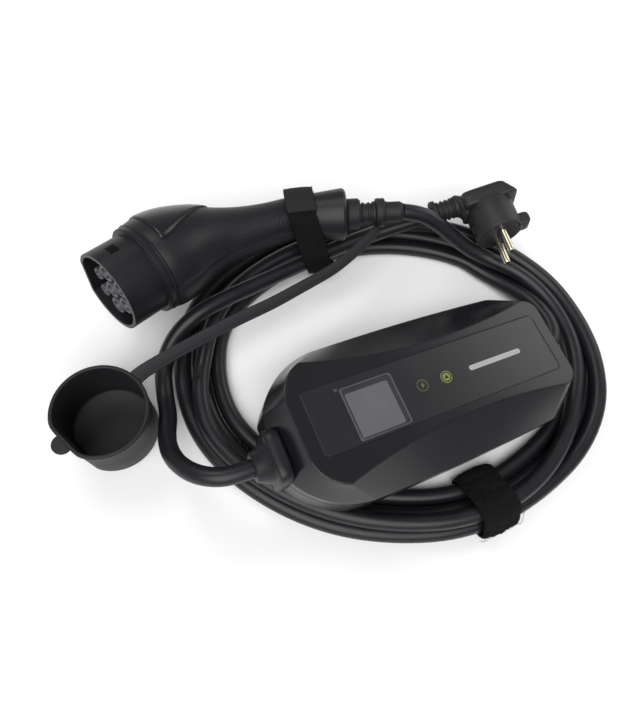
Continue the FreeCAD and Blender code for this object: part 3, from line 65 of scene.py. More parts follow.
# Cable
# Black three-phase charging cable with a smooth elastomer jacket, 11.5 mm thick. It is one length from the
# control box to the connector, wound in four turns, and a second short length from the box to the mains plug.

CABLE_MM = 11.5
RADIUS_MM = CABLE_MM / 2
# the corner of the table that all places are measured from, in the frame
CORNER_X, CORNER_Y = 1.47, -2.31


def on_table(points):
    """Points in millimetres from the table's corner, as metres in the frame."""
    return [Vector((x + CORNER_X, y + CORNER_Y, z)) / 1000 for x, y, z in points]


# the coil's middle line at its stations, which count from the left over the back and the right
COIL_LINE = [
    (-84.6, -6.0), (-83.5, 20.0), (-73.5, 44.5), (-53.0, 67.0), (-25.0, 87.0), (8.0, 101.0), (44.0, 108.5),
    (81.0, 108.5), (115.0, 100.5), (145.0, 84.5), (170.5, 63.0), (186.0, 35.0), (190.5, 5.0), (185.0, -25.0),
    (170.0, -52.5), (146.5, -76.5), (117.5, -95.0), (84.0, -105.5), (48.0, -107.0), (13.0, -102.5),
    (-19.0, -91.5), (-47.5, -74.5), (-69.0, -54.0), (-80.0, -31.0)]
STATIONS = len(COIL_LINE)
# how high the bottom layer of turns lies: on the table, and on the straps where these pass under it
LAYER = [5.9, 5.9, 6.2, 6.9, 7.8, 7.8, 6.9, 6.1, 5.9, 5.9, 5.9, 5.9, 5.9, 5.9, 6.1, 6.9, 7.8, 7.8, 6.8, 5.9,
         5.9, 5.9, 5.9, 5.9]


def beside_line(station, across, lift):
    """A point of a turn: across is outward from the coil's middle line, lift above the bottom layer."""
    x, y = COIL_LINE[station % STATIONS]
    back = COIL_LINE[(station - 1) % STATIONS]
    ahead = COIL_LINE[(station + 1) % STATIONS]
    run = math.hypot(ahead[0] - back[0], ahead[1] - back[1])
    out = ((back[1] - ahead[1]) / run, (ahead[0] - back[0]) / run)
    return (x + out[0] * across, y + out[1] * across, LAYER[station % STATIONS] + lift)


# each turn runs down from its first station to its last one, and has (across, lift) marks at some stations
TURNS = [
    (32, 12, {8: (-11.5, 0), 2: (-12.3, 0), 0: (-12.0, 0), 22: (-12.6, 0), 20: (-11.5, 0), 15: (-11.5, 0),
              14: (-8.5, 0), 13: (-4.5, 0), 12: (-1.2, 0)}),
    (35, 12, {11: (0, 0), 4: (0, 0), 1: (0.3, 0), 23: (-0.5, 0), 16: (0, 0), 15: (0.5, 0), 14: (3.3, 0),
              13: (7.4, 0), 12: (10.8, 0)}),
    (35, 12, {11: (12.0, 0), 8: (11.6, 0), 3: (11.7, 0), 1: (12.6, 0), 22: (11.8, 0), 19: (12.6, 0),
              16: (11.5, 0), 15: (12.3, 0.4), 14: (14.6, 4.6), 13: (13.4, 10.2), 12: (8.8, 11.8)}),
    (35, 14, {11: (6.0, 10.1), 8: (5.8, 10.0), 7: (3.0, 11.2), 6: (-2.0, 11.4), 5: (-5.6, 10.0),
              1: (-6.0, 10.0), 0: (-3.5, 11.2), 23: (2.0, 11.5), 22: (5.7, 10.0), 18: (5.8, 10.0),
              16: (5.75, 9.96), 15: (4.0, 11.0), 14: (-1.0, 11.6)})]


def turn_points(first, last, marks):
    """The points of one turn: the offsets change evenly from mark to mark."""
    order = [station % STATIONS for station in range(first, last - 1, -1)]
    known = [(place, marks[station]) for place, station in enumerate(order) if station in marks]
    points = []
    for place, station in enumerate(order):
        before = [item for item in known if item[0] <= place][-1]
        after = [item for item in known if item[0] >= place]
        after = after[0] if after else before
        span = after[0] - before[0]
        share = (place - before[0]) / span if span else 0.0
        across, lift = (a + (b - a) * share for a, b in zip(before[1], after[1]))
        points.append(beside_line(station, across, lift))
    return points


BOX_TO_COIL = [
    (154.3, 6.2, 23.1), (160.2, 8.7, 22.3), (165.0, 13.5, 21.8), (167.3, 20.5, 21.4), (167.2, 28.5, 20.8),
    (164.2, 37.5, 19.6), (159.4, 46.5, 17.6), (153.2, 55.0, 14.6), (145.6, 63.4, 11.0), (136.6, 71.0, 8.0),
    (124.5, 79.4, 6.2)]
COIL_TO_CONNECTOR = [
    (180.0, -22.0, 17.2), (185.0, 1.0, 17.0), (182.8, 26.0, 16.6), (172.6, 49.5, 16.9), (158.6, 65.6, 17.8),
    (143.5, 75.0, 19.4), (129.5, 81.0, 19.8), (116.5, 85.2, 22.6), (103.5, 88.6, 28.6), (91.0, 92.0, 37.0),
    (78.5, 95.2, 45.2), (66.0, 97.3, 50.9), (53.1, 96.8, 52.3)]
BOX_TO_PLUG = [
    (-44.4, -86.3, 52.3), (-55.4, -91.1, 53.9), (-67.4, -91.9, 52.5), (-79.0, -88.7, 48.0),
    (-88.8, -81.8, 41.5), (-95.8, -72.0, 33.5), (-99.1, -60.5, 25.0), (-100.3, -46.5, 16.5),
    (-105.0, -31.0, 11.6), (-107.8, -12.5, 14.5), (-101.0, 6.5, 23.0), (-86.0, 21.5, 29.4),
    (-68.5, 34.0, 28.6), (-50.0, 46.5, 25.6), (-30.0, 59.5, 23.4), (-9.0, 72.5, 22.0), (12.0, 84.5, 22.4),
    (32.0, 93.0, 24.5), (50.0, 99.6, 27.0), (66.0, 104.8, 29.8), (80.4, 108.9, 33.65)]


def cable(name, route):
    """A round cable along a smooth open spline."""
    line = bpy.data.curves.new(name, "CURVE")
    line.dimensions = "3D"
    spline = line.splines.new("NURBS")
    spots = on_table(route)
    spline.points.add(len(spots) - 1)
    for point, spot in zip(spline.points, spots):
        point.co = (*spot, 1.0)
        point.radius = RADIUS_MM / 1000
    spline.order_u = 3
    spline.use_endpoint_u = True
    line.resolution_u = 6
    # the points' radius gives the thickness, so the bevel is one metre for each metre of it
    line.bevel_depth = 1.0
    line.bevel_resolution = 5
    line.use_fill_caps = True
    item = bpy.data.objects.new(name, line)
    scene.collection.objects.link(item)
    return item


gun_route = list(BOX_TO_COIL)
for turn in TURNS:
    gun_route += turn_points(*turn)
gun_route += COIL_TO_CONNECTOR
gun_cable = cable("gun_cable", gun_route)
plug_cable = cable("plug_cable", BOX_TO_PLUG)
for item in (gun_cable, plug_cable):
    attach(item, "lead")
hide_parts("gun_lead_start", "gun_lead_coil", "gun_lead_end")
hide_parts("plug_lead")


def add(tree, kind, inputs=None, **settings):
    """A shader node. Each input is a number, a colour or the output of another node."""
    item = tree.nodes.new("ShaderNode" + kind)
    for key, thing in settings.items():
        setattr(item, key, thing)
    for key, thing in (inputs or {}).items():
        socket = item.inputs[key]
        if isinstance(thing, bpy.types.NodeSocket):
            tree.links.new(thing, socket)
        elif hasattr(thing, "__len__") and len(thing) == 3 and socket.type == "RGBA":
            socket.default_value = (*thing, 1.0)
        else:
            socket.default_value = thing
    return item


def math_node(tree, operation, first, second):
    """The output of one sum of two numbers or outputs."""
    return add(tree, "Math", {0: first, 1: second}, operation=operation).outputs[0]


def new_group(name, inputs, outputs):
    """An empty shader group with named float sockets. Returns the tree, its input and its output node."""
    tree = bpy.data.node_groups.new(name, "ShaderNodeTree")
    for label, default in inputs:
        socket = tree.interface.new_socket(label, in_out="INPUT", socket_type="NodeSocketFloat")
        socket.default_value = default
    for label in outputs:
        tree.interface.new_socket(label, in_out="OUTPUT", socket_type="NodeSocketFloat")
    return tree, tree.nodes.new("NodeGroupInput"), tree.nodes.new("NodeGroupOutput")


def place_group(tree, group, **inputs):
    """The group as one node of a material, with values of its own."""
    item = tree.nodes.new("ShaderNodeGroup")
    item.node_tree = group
    for key, thing in inputs.items():
        item.inputs[key.replace("_", " ")].default_value = thing
    return item


# the fine spark-eroded grain of moulded parts, with a slow change over the surface
grain, taken, given = new_group("moulded_grain", [("Grains per metre", 2500.0), ("Patches per metre", 60.0)],
                                ["Height", "Patch"])
where = add(grain, "TexCoord").outputs["Object"]
fine = add(grain, "TexNoise", {"Vector": where, "Scale": taken.outputs[0], "Detail": 2.0, "Roughness": 0.6})
wide = add(grain, "TexNoise", {"Vector": where, "Scale": taken.outputs[1], "Detail": 4.0, "Roughness": 0.55})
grain.links.new(fine.outputs["Fac"], given.inputs["Height"])
grain.links.new(wide.outputs["Fac"], given.inputs["Patch"])

# rubbed outer edges: 1 on a sharp outer edge, broken up by noise, 0 on flat faces
wear, taken, given = new_group("rubbed_edges", [("Width", 0.0006), ("Breaks per metre", 300.0)], ["Edge"])
where = add(wear, "TexCoord").outputs["Object"]
soft = add(wear, "Bevel", {"Radius": taken.outputs[0]}, samples=6)
true = add(wear, "NewGeometry")
turned = add(wear, "VectorMath", {0: soft.outputs[0], 1: true.outputs["Normal"]}, operation="DOT_PRODUCT")
sharp = add(wear, "MapRange", {"Value": turned.outputs["Value"], "From Min": 0.995, "From Max": 0.86})
breaks = add(wear, "TexNoise", {"Vector": where, "Scale": taken.outputs[1], "Detail": 3.0})
broken = add(wear, "MapRange", {"Value": breaks.outputs["Fac"], "From Min": 0.42, "From Max": 0.62})
wear.links.new(math_node(wear, "MULTIPLY", sharp.outputs[0], broken.outputs[0]), given.inputs["Edge"])


def moulded(name, colour, rough, grains=2500.0, depth=0.02, patches=60.0, tone=0.25, edge=0.15, width=0.0006,
            rounding=0.0, coat=0.0, metallic=0.0, spread=0.12, specular=0.5):
    """A moulded or turned finish: base colour with slow patches, grain as bump, and lighter rubbed edges.

    The grain's depth and the rounding of edges are in millimetres; tone and spread are how far the colour and
    the roughness change from patch to patch.
    """
    look = bpy.data.materials.new(name)
    look.use_nodes = True
    tree = look.node_tree
    shader = tree.nodes["Principled BSDF"]
    surface = place_group(tree, grain, Grains_per_metre=grains, Patches_per_metre=patches)
    rub = place_group(tree, wear, Width=width)
    dark = tuple(c * (1 - tone) for c in colour)
    light = tuple(c * (1 + tone) for c in colour)
    base = add(tree, "MixRGB", {"Fac": surface.outputs["Patch"], "Color1": dark, "Color2": light})
    rubbed = tuple(min(1.0, c * 1.6 + 0.05) for c in colour)
    share = math_node(tree, "MULTIPLY", rub.outputs["Edge"], edge)
    shown = add(tree, "MixRGB", {"Fac": share, "Color1": base.outputs[0], "Color2": rubbed})
    tree.links.new(shown.outputs[0], shader.inputs["Base Color"])
    gloss = add(tree, "MapRange", {"Value": surface.outputs["Patch"], "From Min": 0.25, "From Max": 0.75,
                                   "To Min": max(0.0, rough - spread / 2), "To Max": rough + spread / 2})
    tree.links.new(gloss.outputs[0], shader.inputs["Roughness"])
    bump = add(tree, "Bump", {"Strength": 1.0, "Distance": depth / 1000, "Height": surface.outputs["Height"]})
    if rounding:
        soft_edge = add(tree, "Bevel", {"Radius": rounding / 1000}, samples=6)
        tree.links.new(soft_edge.outputs[0], bump.inputs["Normal"])
    tree.links.new(bump.outputs[0], shader.inputs["Normal"])
    shader.inputs["Metallic"].default_value = metallic
    shader.inputs["Coat Weight"].default_value = coat
    shader.inputs["Coat Roughness"].default_value = 0.12
    shader.inputs["Specular IOR Level"].default_value = specular
    return look


jacket = moulded("cable_jacket", (0.009, 0.009, 0.0115), 0.36, grains=1400.0, depth=0.03, patches=45.0,
                 edge=0.0, spread=0.16, specular=0.35)
for item in (gun_cable, plug_cable):
    item.data.materials.append(jacket)


# Connector handle
# Two half shells of glass-filled nylon with a fine texture, shown as one body with the parting line sunk in
# it. A pattern of small close cells gives grip between the hump and the tail.

def standing(x, y, z, *turns):
    """The frame of a piece: its place on the table and then its turns in degrees, each about one axis."""
    place = Matrix.Translation(on_table([(x, y, z)])[0])
    for angle, axis in turns:
        place = place @ Matrix.Rotation(math.radians(angle), 4, axis)
    return place


def skin(name, rings, look, body, place=None, loop=False):
    """A closed skin over rings of points in millimetres; each ring goes round the same way."""
    shape = bmesh.new()
    place = place or Matrix.Identity(4)
    rows = [[shape.verts.new(place @ (Vector(spot) / 1000)) for spot in ring] for ring in rings]
    count = len(rows[0])
    for row, after in zip(rows, rows[1:] + rows[:1] if loop else rows[1:]):
        for number in range(count):
            follow = (number + 1) % count
            shape.faces.new((row[number], row[follow], after[follow], after[number])).smooth = True
    if not loop:
        shape.faces.new(rows[0])
        shape.faces.new(rows[-1])
    bmesh.ops.recalc_face_normals(shape, faces=shape.faces)
    mesh = bpy.data.meshes.new(name)
    shape.to_mesh(mesh)
    shape.free()
    mesh.materials.append(look)
    item = bpy.data.objects.new(name, mesh)
    scene.collection.objects.link(item)
    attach(item, body)
    return item


def smooth_rows(rows, steps):
    """Rows of numbers with a smooth run of further rows between each pair."""
    found = []
    last = len(rows) - 1
    for number in range(last):
        around = rows[max(number - 1, 0)], rows[number], rows[number + 1], rows[min(number + 2, last)]
        for step in range(steps):
            t = step / steps
            found.append([0.5 * (2 * b + (c - a) * t + (2 * a - 5 * b + 4 * c - d) * t * t
                                 + (3 * b - a - 3 * c + d) * t ** 3) for a, b, c, d in zip(*around)])
    found.append(list(rows[-1]))
    return found


def rounded(angle, half_x, half_y, power):
    """A point of an outline that is an ellipse at power 2 and nears a rectangle as the power grows."""
    cosine, sine = math.cos(angle), math.sin(angle)
    return (half_x * math.copysign(abs(cosine) ** (2 / power), cosine),
            half_y * math.copysign(abs(sine) ** (2 / power), sine))


# the connector's frame: the tail's middle line is its X, and the nose lies towards -X
gun = standing(37.2, 95.8, 50.8, (3.5, "Z"), (-5.5, "Y"), (-20.1, "X"))
# centre along and across the tail, turn in degrees, half height and half width of the handle
HANDLE = [
    (-155.5, -47.2, 44.5, 29.6, 28.8), (-149.0, -41.0, 40.0, 31.6, 29.6), (-138.4, -32.6, 34.0, 30.7, 28.0),
    (-123.3, -23.5, 26.0, 25.0, 24.0), (-109.4, -18.8, 20.0, 19.6, 19.4), (-94.3, -14.2, 17.0, 16.6, 16.6),
    (-77.5, -8.0, 13.0, 14.8, 14.8), (-60.1, -1.4, 5.0, 14.4, 14.4), (-46.0, 0.0, 0.0, 14.6, 14.6)]
HANDLE_POWER = 2.2
HANDLE_WALL = 4.0
# angles round the handle, and how far each point is sunk: the parting line lies at both ends of the height
PARTING_HALF, PARTING_DEPTH = 0.012, 0.5
HALF_ROUND = [(0.0, PARTING_DEPTH), (PARTING_HALF, 0.0)]
HALF_ROUND += [(math.pi * n / 28, 0.0) for n in range(1, 28)] + [(math.pi - PARTING_HALF, 0.0)]
ROUND = HALF_ROUND + [(angle + math.pi, sunk) for angle, sunk in HALF_ROUND]


def handle_ring(row, outline, inside=0.0):
    """A section of the handle, square to its bent middle line, from angles and how far each point is sunk."""
    along, across, turn, height, width = row
    slant = math.radians(turn)
    ring = []
    for angle, sunk in outline:
        side, lift = rounded(angle, height - sunk - inside, width - sunk - inside, HANDLE_POWER)
        ring.append((along - side * math.sin(slant), across + side * math.cos(slant), lift))
    return ring


# the grip texture: small close cells that begin behind the hump and end before the tail, along the gun's X
grip, taken, given = new_group("grip_texture", [("Cells per metre", 900.0)], ["Height"])
where = add(grip, "TexCoord").outputs["Object"]
cells = add(grip, "TexVoronoi", {"Vector": where, "Scale": taken.outputs[0]})
offset = add(grip, "VectorMath", {0: where, 1: tuple(gun.translation)}, operation="SUBTRACT").outputs[0]
tail_way = tuple(gun.col[0][:3])
along = add(grip, "VectorMath", {0: offset, 1: tail_way}, operation="DOT_PRODUCT").outputs["Value"]
begins = add(grip, "MapRange", {"Value": along, "From Min": -0.122, "From Max": -0.108})
ends = add(grip, "MapRange", {"Value": along, "From Min": -0.060, "From Max": -0.066})
held = math_node(grip, "MULTIPLY", begins.outputs[0], ends.outputs[0])
grip.links.new(math_node(grip, "MULTIPLY", cells.outputs["Distance"], held), given.inputs["Height"])

handle_plastic = moulded("handle_plastic", (0.009, 0.009, 0.011), 0.42, grains=1500.0, depth=0.05,
                         specular=0.3)
tree = handle_plastic.node_tree
fine_bump = next(node for node in tree.nodes if node.type == "BUMP")
cells = add(tree, "Bump", {"Strength": 1.0, "Distance": 0.00022,
                           "Height": place_group(tree, grip, Cells_per_metre=900.0).outputs["Height"]})
tree.links.new(cells.outputs[0], fine_bump.inputs["Normal"])

rows = smooth_rows(HANDLE, 7)
rings = [handle_ring(row, ROUND) for row in rows]
front, back = (handle_ring(row, ROUND, HANDLE_WALL) for row in (rows[0], rows[-1]))
handle = skin("handle_shells", [front] + rings + [back], handle_plastic, "lead", gun)
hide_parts("handle_shell_left", "handle_shell_right")


# Handle trim
# A glossier cover let in over the hump of the handle. It stands a little proud of the shells, and its lower
# edge slants up to a point towards the tail.

TRIM_FRONT, TRIM_BACK = -151.0, -112.0
TRIM_PROUD, TRIM_ROOT = 1.0, 1.2
# the angles round the handle that the cover spans: from its far edge to its near one, which draws in by one
TRIM_FAR, TRIM_NEAR, TRIM_DRAWN_IN = -0.3, 2.05, 1.0


def dress(look, *names):
    """Gives CAD pieces that are shown as they are their finish."""
    for name in names:
        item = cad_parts[name]
        item.data.materials.clear()
        item.data.materials.append(look)


trim_plastic = moulded("trim_plastic", (0.008, 0.008, 0.010), 0.27, depth=0.02, rounding=0.4, specular=0.4)
dress(trim_plastic, "top_trim")
cover = []
hump = [row for row in rows if TRIM_FRONT < row[0] < TRIM_BACK]
for number, row in enumerate(hump):
    share = number / (len(hump) - 1)
    near = TRIM_NEAR - TRIM_DRAWN_IN * share ** 2
    angles = [TRIM_FAR + (near - TRIM_FAR) * step / 15 for step in range(16)]
    # the first and the last section lie lower, which rounds the cover's ends
    proud = TRIM_PROUD - (0.25 if number in (0, len(hump) - 1) else 0.0)
    outline = [(angles[0], 1.0)] + [(angle, -proud) for angle in angles[1:-1]]
    outline += [(angles[-1], 0.1 - proud), (angles[-1], 1.0)]
    outline += [(angle, TRIM_ROOT) for angle in reversed(angles[2:-2])]
    cover.append(handle_ring(row, outline))
trim = skin("trim_panel", cover, trim_plastic, "lead", gun)


# Connector nose
# The round nose with one flat side, moulded in the same black nylon as the shells, and the collar behind it.
# The small recess for the lock, on its upper side behind the rim, is not cut in: a near-black sheet laid on
# the nose there is painted shade.

NOSE_TILT = math.radians(44.5)
NOSE_RADIUS = 26.5
# the nose's frame: X to its side, Y to its flat side and Z out of its mouth
nose = gun @ Matrix.Translation((-0.1591, -0.0507, 0.0)) @ Matrix((
    (0.0, -math.sin(NOSE_TILT), -math.cos(NOSE_TILT), 0.0),
    (0.0, math.cos(NOSE_TILT), -math.sin(NOSE_TILT), 0.0),
    (1.0, 0.0, 0.0, 0.0),
    (0.0, 0.0, 0.0, 1.0)))

nose_plastic = moulded("nose_plastic", (0.009, 0.009, 0.011), 0.42, depth=0.03, rounding=0.6, specular=0.3)
dress(nose_plastic, "nose_shroud", "collar_ring")
recess_shade = moulded("recess_shade", (0.0025, 0.0025, 0.0028), 0.7, specular=0.1)
# height above the nose's root, and half the recess's angle in degrees
RECESS_ROWS = ((10.8, 7.36), (11.1, 8.32), (16.6, 8.32), (16.9, 7.36))
rings = []
for height, half in RECESS_ROWS:
    turns = [math.radians(half * step / 6) for step in range(-6, 7)]
    outer, inner = NOSE_RADIUS + 0.04, NOSE_RADIUS - 0.5
    rings.append([(outer * math.cos(turn), outer * math.sin(turn), height) for turn in turns]
                 + [(inner * math.cos(turn), inner * math.sin(turn), height) for turn in reversed(turns)])
# painted shade: a thin near-black sheet just proud of the nose, where the lock's recess would hold shade
recess_shade_sheet = skin("nose_recess_shade", rings, recess_shade, "lead", nose)


# Contacts
# A dark insert fills the nose: a plate with one flat side and seven round sleeves that stand up from it. Each
# sleeve holds a tube of plated brass, five large ones for the power and two small ones for the signals.

SLEEVE_FOOT, SLEEVE_TOP = 13.2, 23.2
SPOTS = [(-13.2, 0.0), (0.0, 0.0), (13.2, 0.0), (-6.6, -11.4), (6.6, -11.4), (-6.8, 11.0), (6.8, 11.0)]
POWER_SPOTS = 5


def dee(radius, flat, height, facing):
    """A circle with one side cut flat, which faces an angle in degrees; its corners are a little softened."""
    ring = []
    count = 72
    for number in range(count):
        angle = 2 * math.pi * number / count
        towards = math.cos(angle - math.radians(facing))
        reach = radius
        if towards > 0.05:
            reach = (radius ** -40 + (flat / towards) ** -40) ** (-1 / 40)
        ring.append((reach * math.cos(angle), reach * math.sin(angle), height))
    return ring


def circle(radius, count, x=0.0, y=0.0):
    """Even points round a circle."""
    turns = [2 * math.pi * number / count for number in range(count)]
    return [(x + radius * math.cos(turn), y + radius * math.sin(turn)) for turn in turns]


def turned(name, spot, profile, look, count):
    """A round form in the nose: (radius, height) pairs about an axis through the spot."""
    rings = [[(x, y, height) for x, y in circle(radius, count, *spot)] for radius, height in profile]
    return skin(name, rings, look, "lead", nose)


carrier_plastic = moulded("carrier_plastic", (0.044, 0.044, 0.049), 0.45, depth=0.03, rounding=0.3)
contact_metal = moulded("contact_metal", (0.62, 0.56, 0.42), 0.28, grains=900.0, depth=0.01, metallic=1.0)
PLATE_ROWS = ((23.0, 20.4, 1.0), (23.8, 21.2, 1.6), (23.8, 21.2, 13.0), (23.2, 20.6, 13.6))
plate = skin("contact_base", [dee(*row, 90.0) for row in PLATE_ROWS], carrier_plastic, "lead", nose)
for number, spot in enumerate(SPOTS):
    outer, bore = (5.9, 3.6) if number < POWER_SPOTS else (4.2, 2.3)
    sleeve = turned("contact_sleeve_%d" % number, spot, [
        (outer, SLEEVE_FOOT), (outer, SLEEVE_TOP - 0.6), (outer - 0.5, SLEEVE_TOP), (bore + 0.4, SLEEVE_TOP),
        (bore, SLEEVE_TOP - 0.4), (bore, 14.5)], carrier_plastic, 32)
    contact = turned("contact_%d" % number, spot, [
        (bore - 0.3, 14.4), (bore - 0.3, 20.4), (bore - 0.5, 20.7), (bore - 1.0, 20.7), (bore - 1.1, 20.3),
        (bore - 1.1, 14.8)], contact_metal, 24)
    if number == 0:
        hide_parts("contact_carrier")
        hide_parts("power_contacts", "signal_contacts")


# Connector tail
# The nut screws onto the shells' ends and presses the clamp onto the cable, and the rubber boot behind it
# keeps the cable from bending sharply. Steel screws hold the shells together.

nut_plastic = moulded("nut_plastic", (0.010, 0.010, 0.012), 0.40, depth=0.03, rounding=0.5, specular=0.3)
rubber = moulded("rubber", (0.012, 0.012, 0.014), 0.58, grains=1800.0, depth=0.04, rounding=0.5, specular=0.3)
screw_metal = moulded("screw_metal", (0.55, 0.55, 0.56), 0.34, grains=1800.0, depth=0.01, metallic=1.0)
dress(nut_plastic, "tail_nut")
dress(carrier_plastic, "cord_clamp")
dress(rubber, "gun_cable_boot")
dress(screw_metal, "handle_screws")


# Dust cap
# One soft moulding in black rubber: a deep cup with a beaded rim, a pull tab, and a flat tether that runs to
# a ring. The ring turns in the groove of the connector's boot.

CUP_RADIUS, CUP_FLAT = 26.9, 24.3
# how far out from the cup's inside, and how high: up the outside, over the bead and down the inside
CUP_PROFILE = [
    (-16.0, 0.0), (0.3, 0.0), (1.1, 0.3), (1.5, 1.2), (1.5, 20.0), (1.5, 40.2), (1.7, 40.8), (2.3, 41.2),
    (2.45, 41.9), (2.45, 43.0), (2.1, 43.7), (1.4, 44.0), (0.6, 44.0), (0.1, 43.6), (0.0, 42.8), (0.0, 24.0),
    (0.0, 4.2), (-0.4, 3.0), (-1.4, 2.3), (-16.0, 2.2)]
cup_place = standing(-136.9, -51.8, 0.0, (227.0, "Z"))
cup = skin("cap_cup", [dee(CUP_RADIUS + out, CUP_FLAT + out, height, 0.0) for out, height in CUP_PROFILE],
           rubber, "cap", cup_place)

# the tab is a disc at the rim, cut off inside the cup's wall: how far each layer is drawn in, and its height
TAB_RADIUS, TAB_AT, TAB_CUT = 6.0, 27.9, 24.8
TAB_ROWS = ((0.8, 39.5), (0.1, 40.0), (0.0, 41.0), (0.1, 42.0), (0.8, 42.5))
tab = skin("cap_tab", [[(max(TAB_CUT, x), y, height) for x, y in circle(TAB_RADIUS - inset, 40, TAB_AT)]
                       for inset, height in TAB_ROWS], rubber, "cap", cup_place)

# the tether rises from the cup to the ring and narrows on its way
TETHER = [(-118.6, -30.6), (-115.9, -27.5), (-109.1, -22.1), (-91.7, -10.0), (-62.7, 9.0), (-37.4, 23.7),
          (-17.8, 36.5), (2.4, 50.3), (14.2, 60.6), (24.2, 71.0), (31.5, 79.0), (36.5, 86.0)]
TETHER_LOW, TETHER_RISE = 41.9, 5.0
TETHER_HALF, TETHER_NARROWS = 5.0, 1.8
# its section, with a rib along each edge: shares of the half width, and heights
TETHER_SECTION = [
    (-1.0, 0.5), (-1.0, -0.5), (-0.85, -1.1), (0.0, -1.1), (0.85, -1.1), (1.0, -0.5), (1.0, 0.5),
    (0.9, 1.15), (0.78, 1.15), (0.66, 0.75), (0.0, 0.7), (-0.66, 0.75), (-0.78, 1.15), (-0.9, 1.15)]
spans = len(TETHER) - 1
line = smooth_rows([(x, y, TETHER_LOW + TETHER_RISE * n / spans, TETHER_HALF - TETHER_NARROWS * n / spans)
                    for n, (x, y) in enumerate(TETHER)], 8)
rings = []
for number, (x, y, z, half) in enumerate(line):
    back, ahead = line[max(number - 1, 0)], line[min(number + 1, len(line) - 1)]
    run = Vector((ahead[0] - back[0], ahead[1] - back[1])).normalized()
    spots = on_table([(x - run.y * across * half, y + run.x * across * half, z + up)
                      for across, up in TETHER_SECTION])
    rings.append([spot * 1000 for spot in spots])
tether = skin("cap_tether", rings, rubber, "cap")

# the ring's section: radius, and place along the tail
RING_SECTION = [
    (7.2, -2.8), (7.6, -3.2), (9.3, -3.2), (9.9, -2.6), (9.9, 2.6), (9.3, 3.2), (7.6, 3.2), (7.2, 2.8)]
ring = skin("cap_ring", [[(along, radius * cosine, radius * sine) for radius, along in RING_SECTION]
                         for cosine, sine in circle(1.0, 48)], rubber, "cap", gun, loop=True)
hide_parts("dust_cap")


# Control box
# Two glossy injection-moulded halves screwed together over a seal, with glands at both ends. Inside are the
# circuit board with its relays, transformer, current sensor and terminal block, and the display's module.

case_gloss = moulded("case_gloss", (0.008, 0.008, 0.010), 0.25, depth=0.006, rounding=1.8, tone=0.1,
                     spread=0.04, specular=0.42)
board_green = moulded("board_green", (0.02, 0.13, 0.05), 0.40, depth=0.01)
relay_blue = moulded("relay_blue", (0.03, 0.07, 0.17), 0.40, depth=0.01)
terminal_green = moulded("terminal_green", (0.06, 0.24, 0.10), 0.45, depth=0.01)
dress(case_gloss, "case_base", "case_cover")
dress(rubber, "case_seal")
dress(screw_metal, "case_screws")
dress(nut_plastic, "right_gland")
dress(board_green, "circuit_board", "display_module")
dress(relay_blue, "relays", "transformer", "current_sensor")
dress(terminal_green, "terminal_block")

# the box's frame: X along it, and Z square to its panel; one end is lifted by the cable under it
BOX_TILT = 7.6
BOX_HALF_LENGTH = 101.0
box = standing(54.5, -37.0, BOX_HALF_LENGTH * math.sin(math.radians(BOX_TILT)), (23.4, "Z"), (BOX_TILT, "Y"))


def squared(half, height, x=0.0, y=0.0, power=9.0):
    """A square outline with round corners at one height."""
    count = 48
    ring = []
    for number in range(count):
        side, lift = rounded(2 * math.pi * number / count, *half, power)
        ring.append((x + side, y + lift, height))
    return ring


# the collar where the plug's cable leaves the box, a squared sleeve that steps down to the cable: place along
# the box, half width, and how squared it is there
COLLAR_Y, COLLAR_Z = -6.0, 24.0
COLLAR_ROWS = (
    (-96.0, 16.0, 4.5), (-97.2, 17.0, 4.5), (-103.6, 16.8, 4.5), (-104.6, 16.0, 4.5), (-104.9, 13.4, 3.5),
    (-105.6, 12.4, 3.0), (-109.0, 11.4, 2.4), (-110.0, 10.4, 2.0), (-113.4, 9.4, 2.0), (-114.3, 8.4, 2.0),
    (-114.5, 7.0, 2.0))
rings = [[(x, y, z) for y, z, x in squared((half, half), along, COLLAR_Y, COLLAR_Z, power)]
         for along, half, power in COLLAR_ROWS]
collar = skin("left_collar", rings, nut_plastic, "lead", box)
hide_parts("left_gland")


# Front panel
# A film over a let-in plate: a window with the display behind a raised rim, two round status lights with
# plain signs printed on them, a light bar, and a small dot beside the display.

panel_film = moulded("panel_film", (0.011, 0.011, 0.013), 0.30, depth=0.005, rounding=0.3, tone=0.1,
                     spread=0.04)
window_film = moulded("window_film", (0.026, 0.026, 0.029), 0.26, depth=0.003, rounding=0.5)
bezel_plastic = moulded("bezel_plastic", (0.052, 0.052, 0.057), 0.35, depth=0.01)
screen_film = moulded("screen_film", (0.105, 0.101, 0.108), 0.22, depth=0.003, patches=40.0, tone=0.12)
lens_white = moulded("lens_white", (0.32, 0.32, 0.33), 0.40, depth=0.01, tone=0.08)
lens_smoke = moulded("lens_smoke", (0.010, 0.011, 0.009), 0.30, depth=0.01)
print_olive = moulded("print_olive", (0.09, 0.10, 0.030), 0.50, depth=0.01)
print_lime = moulded("print_lime", (0.19, 0.22, 0.045), 0.50, depth=0.01)
dress(panel_film, "front_panel")
dress(window_film, "display_window")
dress(lens_white, "light_bar")
dress(lens_smoke, "status_lights")


def top_of(name):
    """How high a CAD piece reaches in the box's own frame, in millimetres."""
    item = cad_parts[name]
    down = box.inverted() @ item.matrix_world
    return max((down @ vertex.co).z for vertex in item.data.vertices) * 1000


def pane(name, half_x, half_y, steps, at, power, look, loop=False):
    """A flat piece on the window, ring by ring: how far each is drawn in, and its height above the window."""
    rings = [squared((half_x - inset, half_y - inset), window_top + up, *at, power) for inset, up in steps]
    item = skin(name, rings, look, "lead", box, loop=loop)


def flat_mark(name, outline, low, look, thick):
    """A thin printed shape: its outline in the panel's plane and a small thickness."""
    item = skin(name, [[(x, y, low) for x, y in outline], [(x, y, low + thick) for x, y in outline]],
                look, "lead", box)


